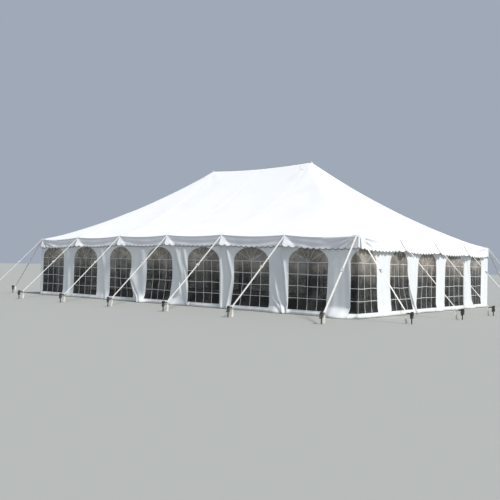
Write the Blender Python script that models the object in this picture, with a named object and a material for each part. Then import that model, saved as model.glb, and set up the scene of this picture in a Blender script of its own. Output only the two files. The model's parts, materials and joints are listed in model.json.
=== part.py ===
# Pole marquee of 15 m by 10 m: a white canopy over two centre poles and a ring of side poles,
# walls with arched windows, and webbing guys to steel stakes.
# X runs along the long side, -Y is the front, and Z = 0 is the ground.
# The origin is on the ground, in the middle of the plan.

import math

import bmesh
import bpy
from mathutils import Matrix, Vector

# Plan and heights
BAY_LENGTH = 2.5
LONG_BAYS = 6
SHORT_BAYS = 4
PEAK_BAYS = 2  # bays from each short side to its centre pole
EAVE_HEIGHT = 2.27  # at the corners
EAVE_CROWN = 0.11  # how much higher the middle of a long side stands
ROOF_HEIGHT = 3.10  # of the peaks over the corners

# Canopy
ROOF_SAG = 0.33  # how far a slope hangs under the straight line from peak to eave
RIDGE_SAG = 0.08
EAVE_SAG = 0.055
EAVE_SAG_REACH = 0.8  # how far up the slope the dips of the eave die away
CANOPY_THICKNESS = 0.010
CELLS_PER_BAY = 4

# Valance
VALANCE_DEPTH = 0.36
VALANCE_THICKNESS = 0.006
SCALLOPS_PER_BAY = 12
SCALLOP_DEPTH = 0.05

# Walls and their windows
WALL_INSET = 0.020  # from the eave line to the wall's outer face
WALL_THICKNESS = 0.006
WALL_HANG_GAP = 0.010  # from the wall's top edge to the canopy
WINDOW_PITCH = 2.07
WINDOW_WIDTH = 1.38
WINDOW_SILL = 0.13
WINDOW_SPRING_DROP = 0.74  # from the corners of the eave to the line where the windows' arches start
WINDOW_ARCH_HEIGHT = 0.45
WINDOW_ARCH_STEPS = 8
CORNER_WINDOW_SHIFT = 0.40  # from the walls' corner to the middle of the window that wraps it
LAST_WINDOW_MARGIN = 0.12
GLAZING_THICKNESS = 0.003
GLAZING_LAP = 0.05  # how far the clear sheet reaches past the openings, up and down

# Poles
CENTRE_POLE_RADIUS = 0.050
CENTRE_FOOT_RADIUS = 0.130
CENTRE_FOOT_THICKNESS = 0.012
CENTRE_PIN_RADIUS = 0.012
CENTRE_PIN_LENGTH = 0.090
SIDE_POLE_RADIUS = 0.0285
SIDE_FOOT_RADIUS = 0.050
SIDE_FOOT_THICKNESS = 0.008
SIDE_PIN_RADIUS = 0.008
SIDE_PIN_LENGTH = 0.040
PIN_TIP_RADIUS = 0.001
PIN_EXTRA_SLOPE = 0.15  # how much steeper a pin's point is than the cloth over it
POLE_SIDES = 8

# Guys and stakes
LONG_GUY_REACH = 2.49
SHORT_GUY_REACH = 1.95
LONG_CORNER_GUY_REACH = 2.18
SHORT_CORNER_GUY_REACH = 1.70
CORNER_GUY_SPREAD = 8.5  # degrees that the two guys of a corner turn towards it
STRAP_WIDTH = 0.050
STRAP_THICKNESS = 0.006
STRAP_END_HEIGHT = 0.27
TAIL_SETBACK = 0.15  # from the stake's axis to the hanging end of the strap
RATCHET_SHARE = 0.45  # how far down the strap the ratchet sits
RATCHET_LENGTH = 0.14
RATCHET_WIDTH = 0.070
RATCHET_HEIGHT = 0.045
STAKE_RADIUS = 0.016
STAKE_HEIGHT = 0.31
STAKE_HEAD_RADIUS = 0.028
STAKE_HEAD_THICKNESS = 0.020

# Clearance between pieces that touch
SEAM_GAP = 0.0003

# Values that follow from the sizes above
HALF_LENGTH = LONG_BAYS * BAY_LENGTH / 2
HALF_WIDTH = SHORT_BAYS * BAY_LENGTH / 2
PEAK_X = HALF_LENGTH - PEAK_BAYS * BAY_LENGTH
WINDOW_SPRING = EAVE_HEIGHT - WINDOW_SPRING_DROP
WALL_INNER = WALL_INSET + WALL_THICKNESS
GLAZING_OUTER = WALL_INNER + SEAM_GAP
GLAZING_INNER = GLAZING_OUTER + GLAZING_THICKNESS
POLE_INSET = WALL_INNER + SEAM_GAP + SIDE_FOOT_RADIUS


def clear_scene():
    for obj in list(bpy.data.objects):
        bpy.data.objects.remove(obj, do_unlink=True)


def make_material(name, colour, roughness, metallic=0.0, alpha=1.0):
    material = bpy.data.materials.new(name)
    material.use_nodes = True
    shader = material.node_tree.nodes["Principled BSDF"]
    shader.inputs["Base Color"].default_value = (*colour, 1.0)
    shader.inputs["Roughness"].default_value = roughness
    shader.inputs["Metallic"].default_value = metallic
    shader.inputs["Alpha"].default_value = alpha
    return material


def add_object(name, mesh, material=None):
    obj = bpy.data.objects.new(name, mesh)
    bpy.context.scene.collection.objects.link(obj)
    if material:
        mesh.materials.clear()
        mesh.materials.append(material)
    return obj


def mesh_from_faces(name, vertices, faces):
    mesh = bpy.data.meshes.new(name)
    mesh.from_pydata(vertices, [], faces)
    mesh.validate()
    return mesh


# The canopy

def bay_dip(along, half_side):
    """How far the eave hangs between two side poles, at a place along a side."""
    from_corner = half_side - abs(along)
    if from_corner <= POLE_INSET:
        return 0.0
    if from_corner < BAY_LENGTH:
        share = (from_corner - POLE_INSET) / (BAY_LENGTH - POLE_INSET)
    else:
        share = (from_corner / BAY_LENGTH) % 1.0
    return 4 * EAVE_SAG * share * (1 - share)


def roof_height(x, y):
    """Height of the canopy's top face: hipped slopes that hang in a shallow curve."""
    from_end = HALF_LENGTH - abs(x)
    from_side = HALF_WIDTH - abs(y)
    climb = min(from_end / (HALF_LENGTH - PEAK_X), from_side / HALF_WIDTH, 1.0)
    hang = 4 * ROOF_SAG * climb * (1 - climb)
    if abs(x) < PEAK_X:
        hang += RIDGE_SAG * climb**2 * (1 - (x / PEAK_X) ** 2)
    crown = EAVE_CROWN * (1 - (x / HALF_LENGTH) ** 2)
    hang += (bay_dip(x, HALF_LENGTH) - crown) * math.exp(-from_side / EAVE_SAG_REACH)
    hang += bay_dip(y, HALF_WIDTH) * math.exp(-from_end / EAVE_SAG_REACH)
    return EAVE_HEIGHT + ROOF_HEIGHT * climb - hang


def steepest_fall(x, y):
    """The canopy's steepest fall away from a pole's top, as height over distance."""
    here = roof_height(x, y)
    steps = [(i * POLE_INSET, j * POLE_INSET) for i in (-1, 0, 1) for j in (-1, 0, 1) if i or j]
    return max((here - roof_height(x + dx, y + dy)) / math.hypot(dx, dy) for dx, dy in steps)


def pole_top(x, y):
    """Height of a pole's tip, whose small flat end just clears the sloping cloth."""
    return roof_height(x, y) - CANOPY_THICKNESS - SEAM_GAP - PIN_TIP_RADIUS * steepest_fall(x, y)


def grid_lines(half_side, bays):
    """Places of the canopy's seams along one side, with one more over each outer row of poles."""
    cells = bays * CELLS_PER_BAY
    even = [-half_side + 2 * half_side * i / cells for i in range(cells + 1)]
    pole_line = half_side - POLE_INSET
    return sorted([*even, -pole_line, pole_line])


def build_canopy(material):
    """A closed sheet on a grid, whose cells are split along the hips."""
    xs = grid_lines(HALF_LENGTH, LONG_BAYS)
    ys = grid_lines(HALF_WIDTH, SHORT_BAYS)
    top = [(x, y, roof_height(x, y)) for x in xs for y in ys]
    under = [(x, y, z - CANOPY_THICKNESS) for x, y, z in top]
    offset = len(top)
    rows = len(ys)

    faces = []
    for i in range(len(xs) - 1):
        for j in range(rows - 1):
            a, b = i * rows + j, (i + 1) * rows + j
            c, d = b + 1, a + 1
            middle_x = (xs[i] + xs[i + 1]) / 2
            middle_y = (ys[j] + ys[j + 1]) / 2
            split = [(a, b, c), (a, c, d)] if middle_x * middle_y > 0 else [(a, b, d), (b, c, d)]
            faces += split
            faces += [tuple(v + offset for v in reversed(face)) for face in split]

    rim = [j for j in range(rows)]
    rim += [i * rows + rows - 1 for i in range(1, len(xs))]
    rim += [(len(xs) - 1) * rows + j for j in range(rows - 2, -1, -1)]
    rim += [i * rows for i in range(len(xs) - 2, 0, -1)]
    for first, second in zip(rim, rim[1:] + rim[:1]):
        faces.append((first, second, second + offset, first + offset))
    return add_object("canopy", mesh_from_faces("canopy", top + under, faces), material)


# Flat sheets that stand on one side of the tent: an outline along the side and up, given a thickness

SIDES = {
    "front": (0, HALF_LENGTH, LONG_BAYS, HALF_WIDTH),
    "right": (90, HALF_WIDTH, SHORT_BAYS, HALF_LENGTH),
    "back": (180, HALF_LENGTH, LONG_BAYS, HALF_WIDTH),
    "left": (270, HALF_WIDTH, SHORT_BAYS, HALF_LENGTH),
}


def turned(degrees):
    """From a side's own frame, where it faces -Y, to the tent's frame."""
    return Matrix.Rotation(math.radians(degrees), 4, "Z")


def upright_sheet(name, outline, outer, thickness):
    """A mesh from an outline of (along, height), standing from y = outer inwards."""
    mesh = bmesh.new()
    front = [mesh.verts.new((along, outer, height)) for along, height in outline]
    face = mesh.faces.new(front)
    made = bmesh.ops.extrude_face_region(mesh, geom=[face])
    moved = [v for v in made["geom"] if isinstance(v, bmesh.types.BMVert)]
    bmesh.ops.translate(mesh, vec=(0, thickness, 0), verts=moved)
    bmesh.ops.recalc_face_normals(mesh, faces=mesh.faces)
    result = bpy.data.meshes.new(name)
    mesh.to_mesh(result)
    mesh.free()
    return result


def eave_height(side, along):
    """Height of the canopy's edge at a place along a side."""
    return roof_height(along, HALF_WIDTH) if side in ("front", "back") else roof_height(HALF_LENGTH, along)


def eave_points(side, depth_below, end_trim):
    """Points along a side at a depth under the eave line, following its dips from pole to pole."""
    _, half_side, bays, _ = SIDES[side]
    lines = grid_lines(half_side, bays)
    inside = [line for line in lines if abs(line) < half_side - end_trim]
    places = [-half_side + end_trim, *inside, half_side - end_trim]
    points = []
    for place in places:
        i = max(k for k in range(len(lines) - 1) if lines[k] <= place)
        share = (place - lines[i]) / (lines[i + 1] - lines[i])
        ends = [eave_height(side, lines[k]) for k in (i, i + 1)]
        points.append((place, ends[0] + share * (ends[1] - ends[0]) - depth_below))
    return points


def build_valance(side, material):
    """The skirt under the eave, with a scalloped lower edge."""
    degrees, half_side, bays, half_across = SIDES[side]
    laps_corner = side in ("front", "back")
    end_trim = 0.0 if laps_corner else VALANCE_THICKNESS + SEAM_GAP
    top = eave_points(side, CANOPY_THICKNESS + SEAM_GAP, end_trim)

    scallops = bays * SCALLOPS_PER_BAY
    hem = []
    for i in range(2 * scallops + 1):
        place = -half_side + half_side * i / scallops
        place = max(min(place, half_side - end_trim), -half_side + end_trim)
        drop = VALANCE_DEPTH if i % 2 else VALANCE_DEPTH - SCALLOP_DEPTH
        hem.append((place, eave_height(side, place) - drop))
    outline = hem + top[::-1]
    name = side + "_valance"
    mesh = upright_sheet(name, outline, -half_across, VALANCE_THICKNESS)
    mesh.transform(turned(degrees))
    return add_object(name, mesh, material)


def window_centres(side, half_side):
    """Middles of a side's windows. They keep one pitch round the corner at the side's end."""
    half_wall = half_side - WALL_INSET
    wraps_at_start = side in ("right", "left")
    first = CORNER_WINDOW_SHIFT if wraps_at_start else -CORNER_WINDOW_SHIFT
    direction = 1 if wraps_at_start else -1
    last = 2 * half_wall - WINDOW_WIDTH / 2 - LAST_WINDOW_MARGIN
    count = int((last - first) / WINDOW_PITCH) + 1
    return [direction * (first + i * WINDOW_PITCH - half_wall) for i in range(count)]


def window_outline(centre):
    half = WINDOW_WIDTH / 2
    points = [(centre - half, WINDOW_SILL), (centre + half, WINDOW_SILL)]
    for i in range(WINDOW_ARCH_STEPS + 1):
        angle = math.pi * i / WINDOW_ARCH_STEPS
        rise = WINDOW_ARCH_HEIGHT * math.sin(angle)
        points.append((centre + half * math.cos(angle), WINDOW_SPRING + rise))
    return points


def cut_with(obj, cutters):
    for cutter in cutters:
        cutter.hide_render = True
        cutter.display_type = "WIRE"
        modifier = obj.modifiers.new("window", "BOOLEAN")
        modifier.operation = "DIFFERENCE"
        modifier.object = cutter


def build_wall(side, material):
    """The cloth wall, with its windows cut through it."""
    degrees, half_side, _, half_across = SIDES[side]
    laps_corner = side in ("front", "back")
    end_trim = WALL_INSET if laps_corner else WALL_INNER + SEAM_GAP
    top = eave_points(side, CANOPY_THICKNESS + WALL_HANG_GAP, end_trim)
    outline = [(top[0][0], 0.0), (top[-1][0], 0.0), *top[::-1]]
    outer = -half_across + WALL_INSET
    name = side + "_wall"
    mesh = upright_sheet(name, outline, outer, WALL_THICKNESS)
    mesh.transform(turned(degrees))
    wall = add_object(name, mesh, material)

    cutters = []
    for centre in window_centres(side, half_side):
        window = upright_sheet("window", window_outline(centre), outer - WALL_THICKNESS, 3 * WALL_THICKNESS)
        window.transform(turned(degrees))
        cutters.append(add_object(side + "_window_cutter", window))
    cut_with(wall, cutters)
    return wall


def build_glazing(side, material):
    """One clear sheet behind all the windows of a wall."""
    degrees, half_side, _, half_across = SIDES[side]
    laps_corner = side in ("front", "back")
    reach = half_side - (GLAZING_OUTER if laps_corner else GLAZING_INNER + SEAM_GAP)
    low = WINDOW_SILL - GLAZING_LAP
    high = WINDOW_SPRING + WINDOW_ARCH_HEIGHT + GLAZING_LAP
    outline = [(-reach, low), (reach, low), (reach, high), (-reach, high)]
    name = side + "_glazing"
    mesh = upright_sheet(name, outline, -half_across + GLAZING_OUTER, GLAZING_THICKNESS)
    mesh.transform(turned(degrees))
    return add_object(name, mesh, material)


# Poles

def turned_mesh(name, profile):
    """A round mesh from a profile of (radius, height), from its top down, spun round Z."""
    mesh = bmesh.new()
    rings = []
    for radius, height in profile:
        ring = []
        for i in range(POLE_SIDES):
            angle = 2 * math.pi * i / POLE_SIDES
            ring.append(mesh.verts.new((radius * math.cos(angle), radius * math.sin(angle), height)))
        rings.append(ring)
    for upper, lower in zip(rings, rings[1:]):
        for i in range(POLE_SIDES):
            j = (i + 1) % POLE_SIDES
            mesh.faces.new((upper[i], lower[i], lower[j], upper[j]))
    mesh.faces.new(rings[0])
    mesh.faces.new(rings[-1][::-1])
    result = bpy.data.meshes.new(name)
    mesh.to_mesh(result)
    mesh.free()
    result.shade_smooth()
    result.set_sharp_from_angle(angle=math.radians(50))
    return result


def pole_mesh(name, height, fall, radius, pin_radius, pin_length, foot_radius, foot_thickness):
    """A tube on a round foot, with a pointed pin that carries the cloth."""
    shoulder = height - pin_length
    point = (pin_radius - PIN_TIP_RADIUS) * (fall + PIN_EXTRA_SLOPE)
    profile = [
        (PIN_TIP_RADIUS, height),
        (pin_radius, height - point),
        (pin_radius, shoulder),
        (radius, shoulder - radius),
        (radius, foot_thickness),
        (foot_radius, foot_thickness),
        (foot_radius, 0.0),
    ]
    return turned_mesh(name, profile)


def build_centre_poles(material):
    size = (CENTRE_POLE_RADIUS, CENTRE_PIN_RADIUS, CENTRE_PIN_LENGTH)
    foot = (CENTRE_FOOT_RADIUS, CENTRE_FOOT_THICKNESS)
    mesh = pole_mesh("centre_pole", pole_top(PEAK_X, 0), steepest_fall(PEAK_X, 0), *size, *foot)
    for name, x in (("centre_pole_left", -PEAK_X), ("centre_pole_right", PEAK_X)):
        add_object(name, mesh, material).location = (x, 0, 0)


def side_pole_places():
    """(name, x, y) of each side pole: the long sides' rows hold the corner poles."""
    places = []
    row_y = HALF_WIDTH - POLE_INSET
    for i in range(LONG_BAYS + 1):
        x = -HALF_LENGTH + i * BAY_LENGTH
        x = max(min(x, HALF_LENGTH - POLE_INSET), -HALF_LENGTH + POLE_INSET)
        places.append((f"side_pole_front_{i + 1}", x, -row_y))
        places.append((f"side_pole_back_{i + 1}", x, row_y))
    row_x = HALF_LENGTH - POLE_INSET
    for i in range(1, SHORT_BAYS):
        y = -HALF_WIDTH + i * BAY_LENGTH
        places.append((f"side_pole_right_{i}", row_x, y))
        places.append((f"side_pole_left_{i}", -row_x, y))
    return places


def build_side_poles(material):
    size = (SIDE_POLE_RADIUS, SIDE_PIN_RADIUS, SIDE_PIN_LENGTH)
    foot = (SIDE_FOOT_RADIUS, SIDE_FOOT_THICKNESS)
    meshes = {}
    for name, x, y in side_pole_places():
        height = round(pole_top(x, y), 6)
        if height not in meshes:
            meshes[height] = pole_mesh("side_pole", height, steepest_fall(x, y), *size, *foot)
        add_object(name, meshes[height], material).location = (x, y, 0)


# Guys: in their own frame they run out along +X from the eave, which is at x = 0

def block(size, centre, tilt=0.0):
    """A box mesh of a size, tilted down about Y and moved to its centre."""
    mesh = bmesh.new()
    bmesh.ops.create_cube(mesh, size=1.0)
    place = Matrix.Translation(centre) @ Matrix.Rotation(tilt, 4, "Y") @ Matrix.Diagonal((*size, 1.0))
    mesh.transform(place)
    result = bpy.data.meshes.new("block")
    mesh.to_mesh(result)
    mesh.free()
    return result


def strap_band(top_height, end_x):
    """The sloping strap as a box with upright ends, so that it starts flat against the eave."""
    drop = top_height - STRAP_END_HEIGHT
    upright = STRAP_THICKNESS / math.cos(math.atan2(drop, end_x)) / 2
    outline = [
        (0.0, top_height - upright),
        (end_x, STRAP_END_HEIGHT - upright),
        (end_x, STRAP_END_HEIGHT + upright),
        (0.0, top_height + upright),
    ]
    return upright_sheet("strap", outline, -STRAP_WIDTH / 2, STRAP_WIDTH)


def stake_mesh():
    head_under = STAKE_HEIGHT - STAKE_HEAD_THICKNESS
    return turned_mesh(
        "stake",
        [
            (STAKE_HEAD_RADIUS, STAKE_HEIGHT),
            (STAKE_HEAD_RADIUS, head_under),
            (STAKE_RADIUS, head_under),
            (STAKE_RADIUS, 0.0),
        ],
    )


def guy_mesh(reach, top_height):
    """A strap, its ratchet, the loop round the stake, the hanging end and the stake, as one body."""
    end_x = reach - TAIL_SETBACK
    slope = math.atan2(top_height - STRAP_END_HEIGHT, end_x)
    ratchet_x = RATCHET_SHARE * end_x
    ratchet_z = top_height - RATCHET_SHARE * (top_height - STRAP_END_HEIGHT)
    ratchet_size = (RATCHET_LENGTH, RATCHET_WIDTH, RATCHET_HEIGHT)
    loop_size = (TAIL_SETBACK + STRAP_THICKNESS, STRAP_WIDTH, STRAP_THICKNESS)
    tail_size = (STRAP_THICKNESS, STRAP_WIDTH, STRAP_END_HEIGHT)

    stake = stake_mesh()
    stake.transform(Matrix.Translation((reach, 0, 0)))
    pieces = [
        block(ratchet_size, (ratchet_x, 0, ratchet_z), slope),
        block(loop_size, (reach - TAIL_SETBACK / 2, 0, STRAP_END_HEIGHT)),
        block(tail_size, (end_x, 0, STRAP_END_HEIGHT / 2)),
        stake,
    ]
    guy = add_object("guy_strap", strap_band(top_height, end_x))
    helpers = [add_object("guy_piece", piece) for piece in pieces]
    for helper in helpers:
        modifier = guy.modifiers.new("join", "BOOLEAN")
        modifier.operation = "UNION"
        modifier.object = helper
    graph = bpy.context.evaluated_depsgraph_get()
    joined = bpy.data.meshes.new_from_object(guy.evaluated_get(graph))
    for helper in [guy, *helpers]:
        bpy.data.objects.remove(helper, do_unlink=True)
    return joined


def build_guys(material):
    """One guy at each side pole, and two at each corner pole, which spread towards the corner."""
    meshes = {}
    for side, (degrees, half_side, bays, half_across) in SIDES.items():
        is_long = side in ("front", "back")
        for i in range(bays + 1):
            along = -half_side + i * BAY_LENGTH
            along = max(min(along, half_side - POLE_INSET), -half_side + POLE_INSET)
            spread = CORNER_GUY_SPREAD * ((i == bays) - (i == 0))
            if is_long:
                reach = LONG_CORNER_GUY_REACH if spread else LONG_GUY_REACH
            else:
                reach = SHORT_CORNER_GUY_REACH if spread else SHORT_GUY_REACH
            top_height = round(eave_height(side, along) - CANOPY_THICKNESS / 2, 6)
            if (reach, top_height) not in meshes:
                meshes[reach, top_height] = guy_mesh(reach, top_height)
            clearance = SEAM_GAP + STRAP_WIDTH / 2 * math.sin(math.radians(abs(spread)))
            guy = add_object(f"guy_{side}_{i + 1}", meshes[reach, top_height], material)
            guy.location = turned(degrees) @ Vector((along, -half_across - clearance, 0))
            guy.rotation_euler = (0, 0, math.radians(degrees - 90 + spread))


def build_marquee():
    clear_scene()
    cloth = make_material("white_coated_cloth", (0.86, 0.87, 0.88), 0.55)
    clear_sheet = make_material("clear_window_sheet", (0.55, 0.60, 0.62), 0.12, alpha=0.35)
    pole_metal = make_material("dull_aluminium", (0.42, 0.43, 0.43), 0.42, 0.9)
    webbing = make_material("ivory_webbing", (0.80, 0.79, 0.74), 0.75)

    build_canopy(cloth)
    for side in SIDES:
        build_valance(side, cloth)
        build_wall(side, cloth)
        build_glazing(side, clear_sheet)
    build_centre_poles(pole_metal)
    build_side_poles(pole_metal)
    build_guys(webbing)


build_marquee()
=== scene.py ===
# %% [markdown]
# # A white pole marquee
# The solids of the tent are already there: a canopy over two centre poles, side poles, valances, walls,
# clear sheets and guys. This lesson gives them their cloth and their finish.
# Lengths are in metres. X runs along the long side, -Y is the front and Z = 0 is the ground.

# %% Load the frame
import json
import math

import bmesh
import bpy
import numpy as np
from mathutils import Matrix, Vector
from mathutils.bvhtree import BVHTree
from mathutils.geometry import delaunay_2d_cdt

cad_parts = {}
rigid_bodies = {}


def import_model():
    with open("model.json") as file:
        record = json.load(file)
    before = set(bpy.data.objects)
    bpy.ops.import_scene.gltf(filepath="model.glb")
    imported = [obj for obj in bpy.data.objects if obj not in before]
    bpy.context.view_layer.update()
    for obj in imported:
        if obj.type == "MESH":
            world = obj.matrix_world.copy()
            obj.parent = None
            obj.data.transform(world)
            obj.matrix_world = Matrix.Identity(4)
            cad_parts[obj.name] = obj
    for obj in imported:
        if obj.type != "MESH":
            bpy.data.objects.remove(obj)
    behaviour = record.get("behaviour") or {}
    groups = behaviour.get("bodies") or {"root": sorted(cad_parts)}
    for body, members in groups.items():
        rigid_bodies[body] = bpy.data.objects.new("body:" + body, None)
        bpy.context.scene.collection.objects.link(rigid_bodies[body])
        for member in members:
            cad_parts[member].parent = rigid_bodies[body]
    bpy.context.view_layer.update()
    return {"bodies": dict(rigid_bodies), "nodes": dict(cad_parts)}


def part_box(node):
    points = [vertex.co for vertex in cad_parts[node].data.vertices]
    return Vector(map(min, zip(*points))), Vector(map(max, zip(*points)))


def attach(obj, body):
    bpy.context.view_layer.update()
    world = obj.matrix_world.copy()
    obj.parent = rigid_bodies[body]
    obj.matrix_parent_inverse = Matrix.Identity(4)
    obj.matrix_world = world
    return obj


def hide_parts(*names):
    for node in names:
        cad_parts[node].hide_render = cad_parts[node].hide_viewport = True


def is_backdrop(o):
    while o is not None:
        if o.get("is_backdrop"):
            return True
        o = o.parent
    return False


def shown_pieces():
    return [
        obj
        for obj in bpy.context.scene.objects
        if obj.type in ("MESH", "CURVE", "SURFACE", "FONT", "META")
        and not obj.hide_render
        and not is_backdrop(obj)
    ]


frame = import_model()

# %% [markdown]
# ## Sizes
# A dressed piece has to sit where its solid is. So the plan, the eave and the peaks are measured on
# the solids, and only the curves between them are written down as numbers here.

# %% Measure the plan and the heights
BODY = next(iter(frame["bodies"]))
LONG_BAYS = 6
SHORT_BAYS = 4
ON_EDGE = 0.001  # a point of a solid this near to an edge counts as on it
canopy_points = [vertex.co for vertex in frame["nodes"]["canopy"].data.vertices]
HALF_LENGTH, HALF_WIDTH, PEAK_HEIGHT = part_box("canopy")[1]
BAY = 2 * HALF_LENGTH / LONG_BAYS
EAVE_HEIGHT = max(p.z for p in canopy_points if p.x + p.y > HALF_LENGTH + HALF_WIDTH - ON_EDGE)
EAVE_CROWN = max(p.z for p in canopy_points if p.y > HALF_WIDTH - ON_EDGE) - EAVE_HEIGHT
ROOF_HEIGHT = PEAK_HEIGHT - EAVE_HEIGHT
PEAK_X = sum(corner.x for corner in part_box("centre_pole_right")) / 2
POLE_INSET = HALF_WIDTH - abs(sum(corner.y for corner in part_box("side_pole_front_4")) / 2)
WALL_INSET = HALF_WIDTH - abs(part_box("front_wall")[0].y)
ROOF_SAG = 0.33  # how far a slope hangs under a straight line from peak to eave
RIDGE_SAG = 0.08
EAVE_SAG = 0.055
EAVE_SAG_REACH = 0.8  # how far up the slope the dips of the eave die away
print("bay", round(BAY, 3), "corner", round(EAVE_HEIGHT, 3), "crown", round(EAVE_CROWN, 3))
print("peaks", round(PEAK_X, 3), "from the middle and", round(PEAK_HEIGHT, 3), "up")

# %% [markdown]
# Each side of the tent is drawn in its own flat frame, as if it were the front: `along` runs to the
# right, `out` points away from the tent and `up` is the height. Quarter turns carry it to its place,
# so one drawing serves all four sides.

# %% Turn a side's own frame into the tent's
# Of each side: its quarter turns, half its length, its bays and how far it stands from the middle.
SIDES = {
    "front": (0, HALF_LENGTH, LONG_BAYS, HALF_WIDTH),
    "right": (1, HALF_WIDTH, SHORT_BAYS, HALF_LENGTH),
    "back": (2, HALF_LENGTH, LONG_BAYS, HALF_WIDTH),
    "left": (3, HALF_WIDTH, SHORT_BAYS, HALF_LENGTH),
}
LONG_SIDES = ("front", "back")
QUARTER_TURNS = ((1, 0), (0, 1), (-1, 0), (0, -1))


def place_on_side(side, along, out, up):
    """Rows of x, y, z in the tent's frame of points given in a side's own frame."""
    turns, _, _, half_across = SIDES[side]
    cosine, sine = QUARTER_TURNS[turns]
    along, depth, up = np.broadcast_arrays(along, -half_across - np.asarray(out, float), up)
    return np.stack([along * cosine - depth * sine, along * sine + depth * cosine, up], axis=-1)


def pole_lines(side):
    """Where the side poles stand along a side. The corner poles stand a little inside the corner."""
    _, half_side, bays, _ = SIDES[side]
    places = -half_side + BAY * np.arange(bays + 1)
    return np.clip(places, POLE_INSET - half_side, half_side - POLE_INSET)


def eave_dip(side, along):
    """How far the eave hangs under its pole tops."""
    from_corner = SIDES[side][1] - np.abs(along)
    in_end_bay = np.clip((from_corner - POLE_INSET) / (BAY - POLE_INSET), 0, 1)
    share = np.where(from_corner < BAY, in_end_bay, np.mod(from_corner / BAY, 1.0))
    return 4 * EAVE_SAG * share * (1 - share)


def eave_height(side, along):
    """Height of the eave. A long side stands higher in its middle than at its corners."""
    crown = EAVE_CROWN * (1 - (along / HALF_LENGTH) ** 2) if side in LONG_SIDES else 0.0
    return EAVE_HEIGHT + crown - eave_dip(side, along)


def soft_step(value, start, end):
    """0 before start, 1 after end, and a soft step between them."""
    share = np.clip((np.asarray(value, float) - start) / (end - start), 0, 1)
    return share * share * (3 - 2 * share)


print("pole lines of the front", pole_lines("front").round(2))

# %% [markdown]
# ## Camera
# The photograph was taken from off the near right corner, at standing eye height. The numbers below
# were solved from the eave's points, the corners and the peaks.

# %% Set up the camera
CAMERA_PLACE = Vector((16.792, -21.108, 1.417))
CAMERA_YAW = math.radians(39.149)
CAMERA_PITCH = math.radians(1.264)
CAMERA_ROLL = math.radians(1.322)
CAMERA_SENSOR = 36.0
CAMERA_LENS = 48.42
CAMERA_REACH = 600.0


def make_camera():
    data = bpy.data.cameras.new("camera")
    data.sensor_width = CAMERA_SENSOR
    data.lens = CAMERA_LENS
    data.clip_end = CAMERA_REACH
    camera = bpy.data.objects.new("camera", data)
    ahead = Vector((
        -math.sin(CAMERA_YAW) * math.cos(CAMERA_PITCH),
        math.cos(CAMERA_YAW) * math.cos(CAMERA_PITCH),
        math.sin(CAMERA_PITCH),
    ))
    level = Vector((math.cos(CAMERA_YAW), math.sin(CAMERA_YAW), 0))
    raised = level.cross(ahead)
    right = math.cos(CAMERA_ROLL) * level + math.sin(CAMERA_ROLL) * raised
    top = math.cos(CAMERA_ROLL) * raised - math.sin(CAMERA_ROLL) * level
    turn = Matrix((right, top, -ahead)).transposed().to_4x4()
    camera.matrix_world = Matrix.Translation(CAMERA_PLACE) @ turn
    bpy.context.scene.collection.objects.link(camera)
    bpy.context.scene.camera = camera
    return camera


print("camera lens", make_camera().data.lens)

# %% [markdown]
# ## Studio
# White cloth shows its folds only in raking light. A soft key light stands to the right, almost in the
# plane of the front wall, as the light in the photograph does: flat cloth there stays in shade, and only
# what turns to the right or upwards is lit. The room's fill is kept low so that the shade stays grey.

# %% Light the studio and lay the floor
KEY_DIRECTION = Vector((0.66, -0.05, 0.75))
KEY_STRENGTH = 4.0
KEY_ANGLE = math.radians(9.0)
KEY_COLOUR = (1.0, 0.975, 0.93)
ROOM_COLOUR = (0.64, 0.72, 0.86)
ROOM_STRENGTH = 0.55
FLOOR_REACH = 200.0
FLOOR_COLOUR = (0.36, 0.37, 0.35, 1.0)
FLOOR_ROUGHNESS = 0.8


def make_studio():
    scene = bpy.context.scene
    scene.view_settings.view_transform = "Standard"
    scene.view_settings.look = "None"
    world = bpy.data.worlds.new("pale_room")
    world.use_nodes = True
    background = world.node_tree.nodes["Background"]
    background.inputs["Color"].default_value = (*ROOM_COLOUR, 1.0)
    background.inputs["Strength"].default_value = ROOM_STRENGTH
    scene.world = world

    key = bpy.data.lights.new("key_light", "SUN")
    key.energy = KEY_STRENGTH
    key.angle = KEY_ANGLE
    key.color = KEY_COLOUR
    lamp = bpy.data.objects.new("key_light", key)
    lamp.rotation_mode = "QUATERNION"
    lamp.rotation_quaternion = KEY_DIRECTION.to_track_quat("Z", "Y")
    scene.collection.objects.link(lamp)

    mesh = bpy.data.meshes.new("floor")
    edge = FLOOR_REACH
    corners = [(-edge, -edge, 0), (edge, -edge, 0), (edge, edge, 0), (-edge, edge, 0)]
    mesh.from_pydata(corners, [], [(0, 1, 2, 3)])
    floor_paint = bpy.data.materials.new("pale_floor")
    floor_paint.use_nodes = True
    shader = floor_paint.node_tree.nodes["Principled BSDF"]
    shader.inputs["Base Color"].default_value = FLOOR_COLOUR
    shader.inputs["Roughness"].default_value = FLOOR_ROUGHNESS
    mesh.materials.append(floor_paint)
    floor = bpy.data.objects.new("floor", mesh)
    scene.collection.objects.link(floor)
    floor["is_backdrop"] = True


make_studio()
print("key light", KEY_STRENGTH, "room light", ROOM_STRENGTH)

# %% [markdown]
# ## Formulas in node trees
# Geometry Nodes and shader nodes both do arithmetic with Math nodes. Wired by hand, a formula of ten
# terms is a page of links. This small class adds the nodes for `a * b + c` when Python meets it, so
# the trees below read like the formulas that they hold.

# %% A number that lives in a node tree


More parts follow.
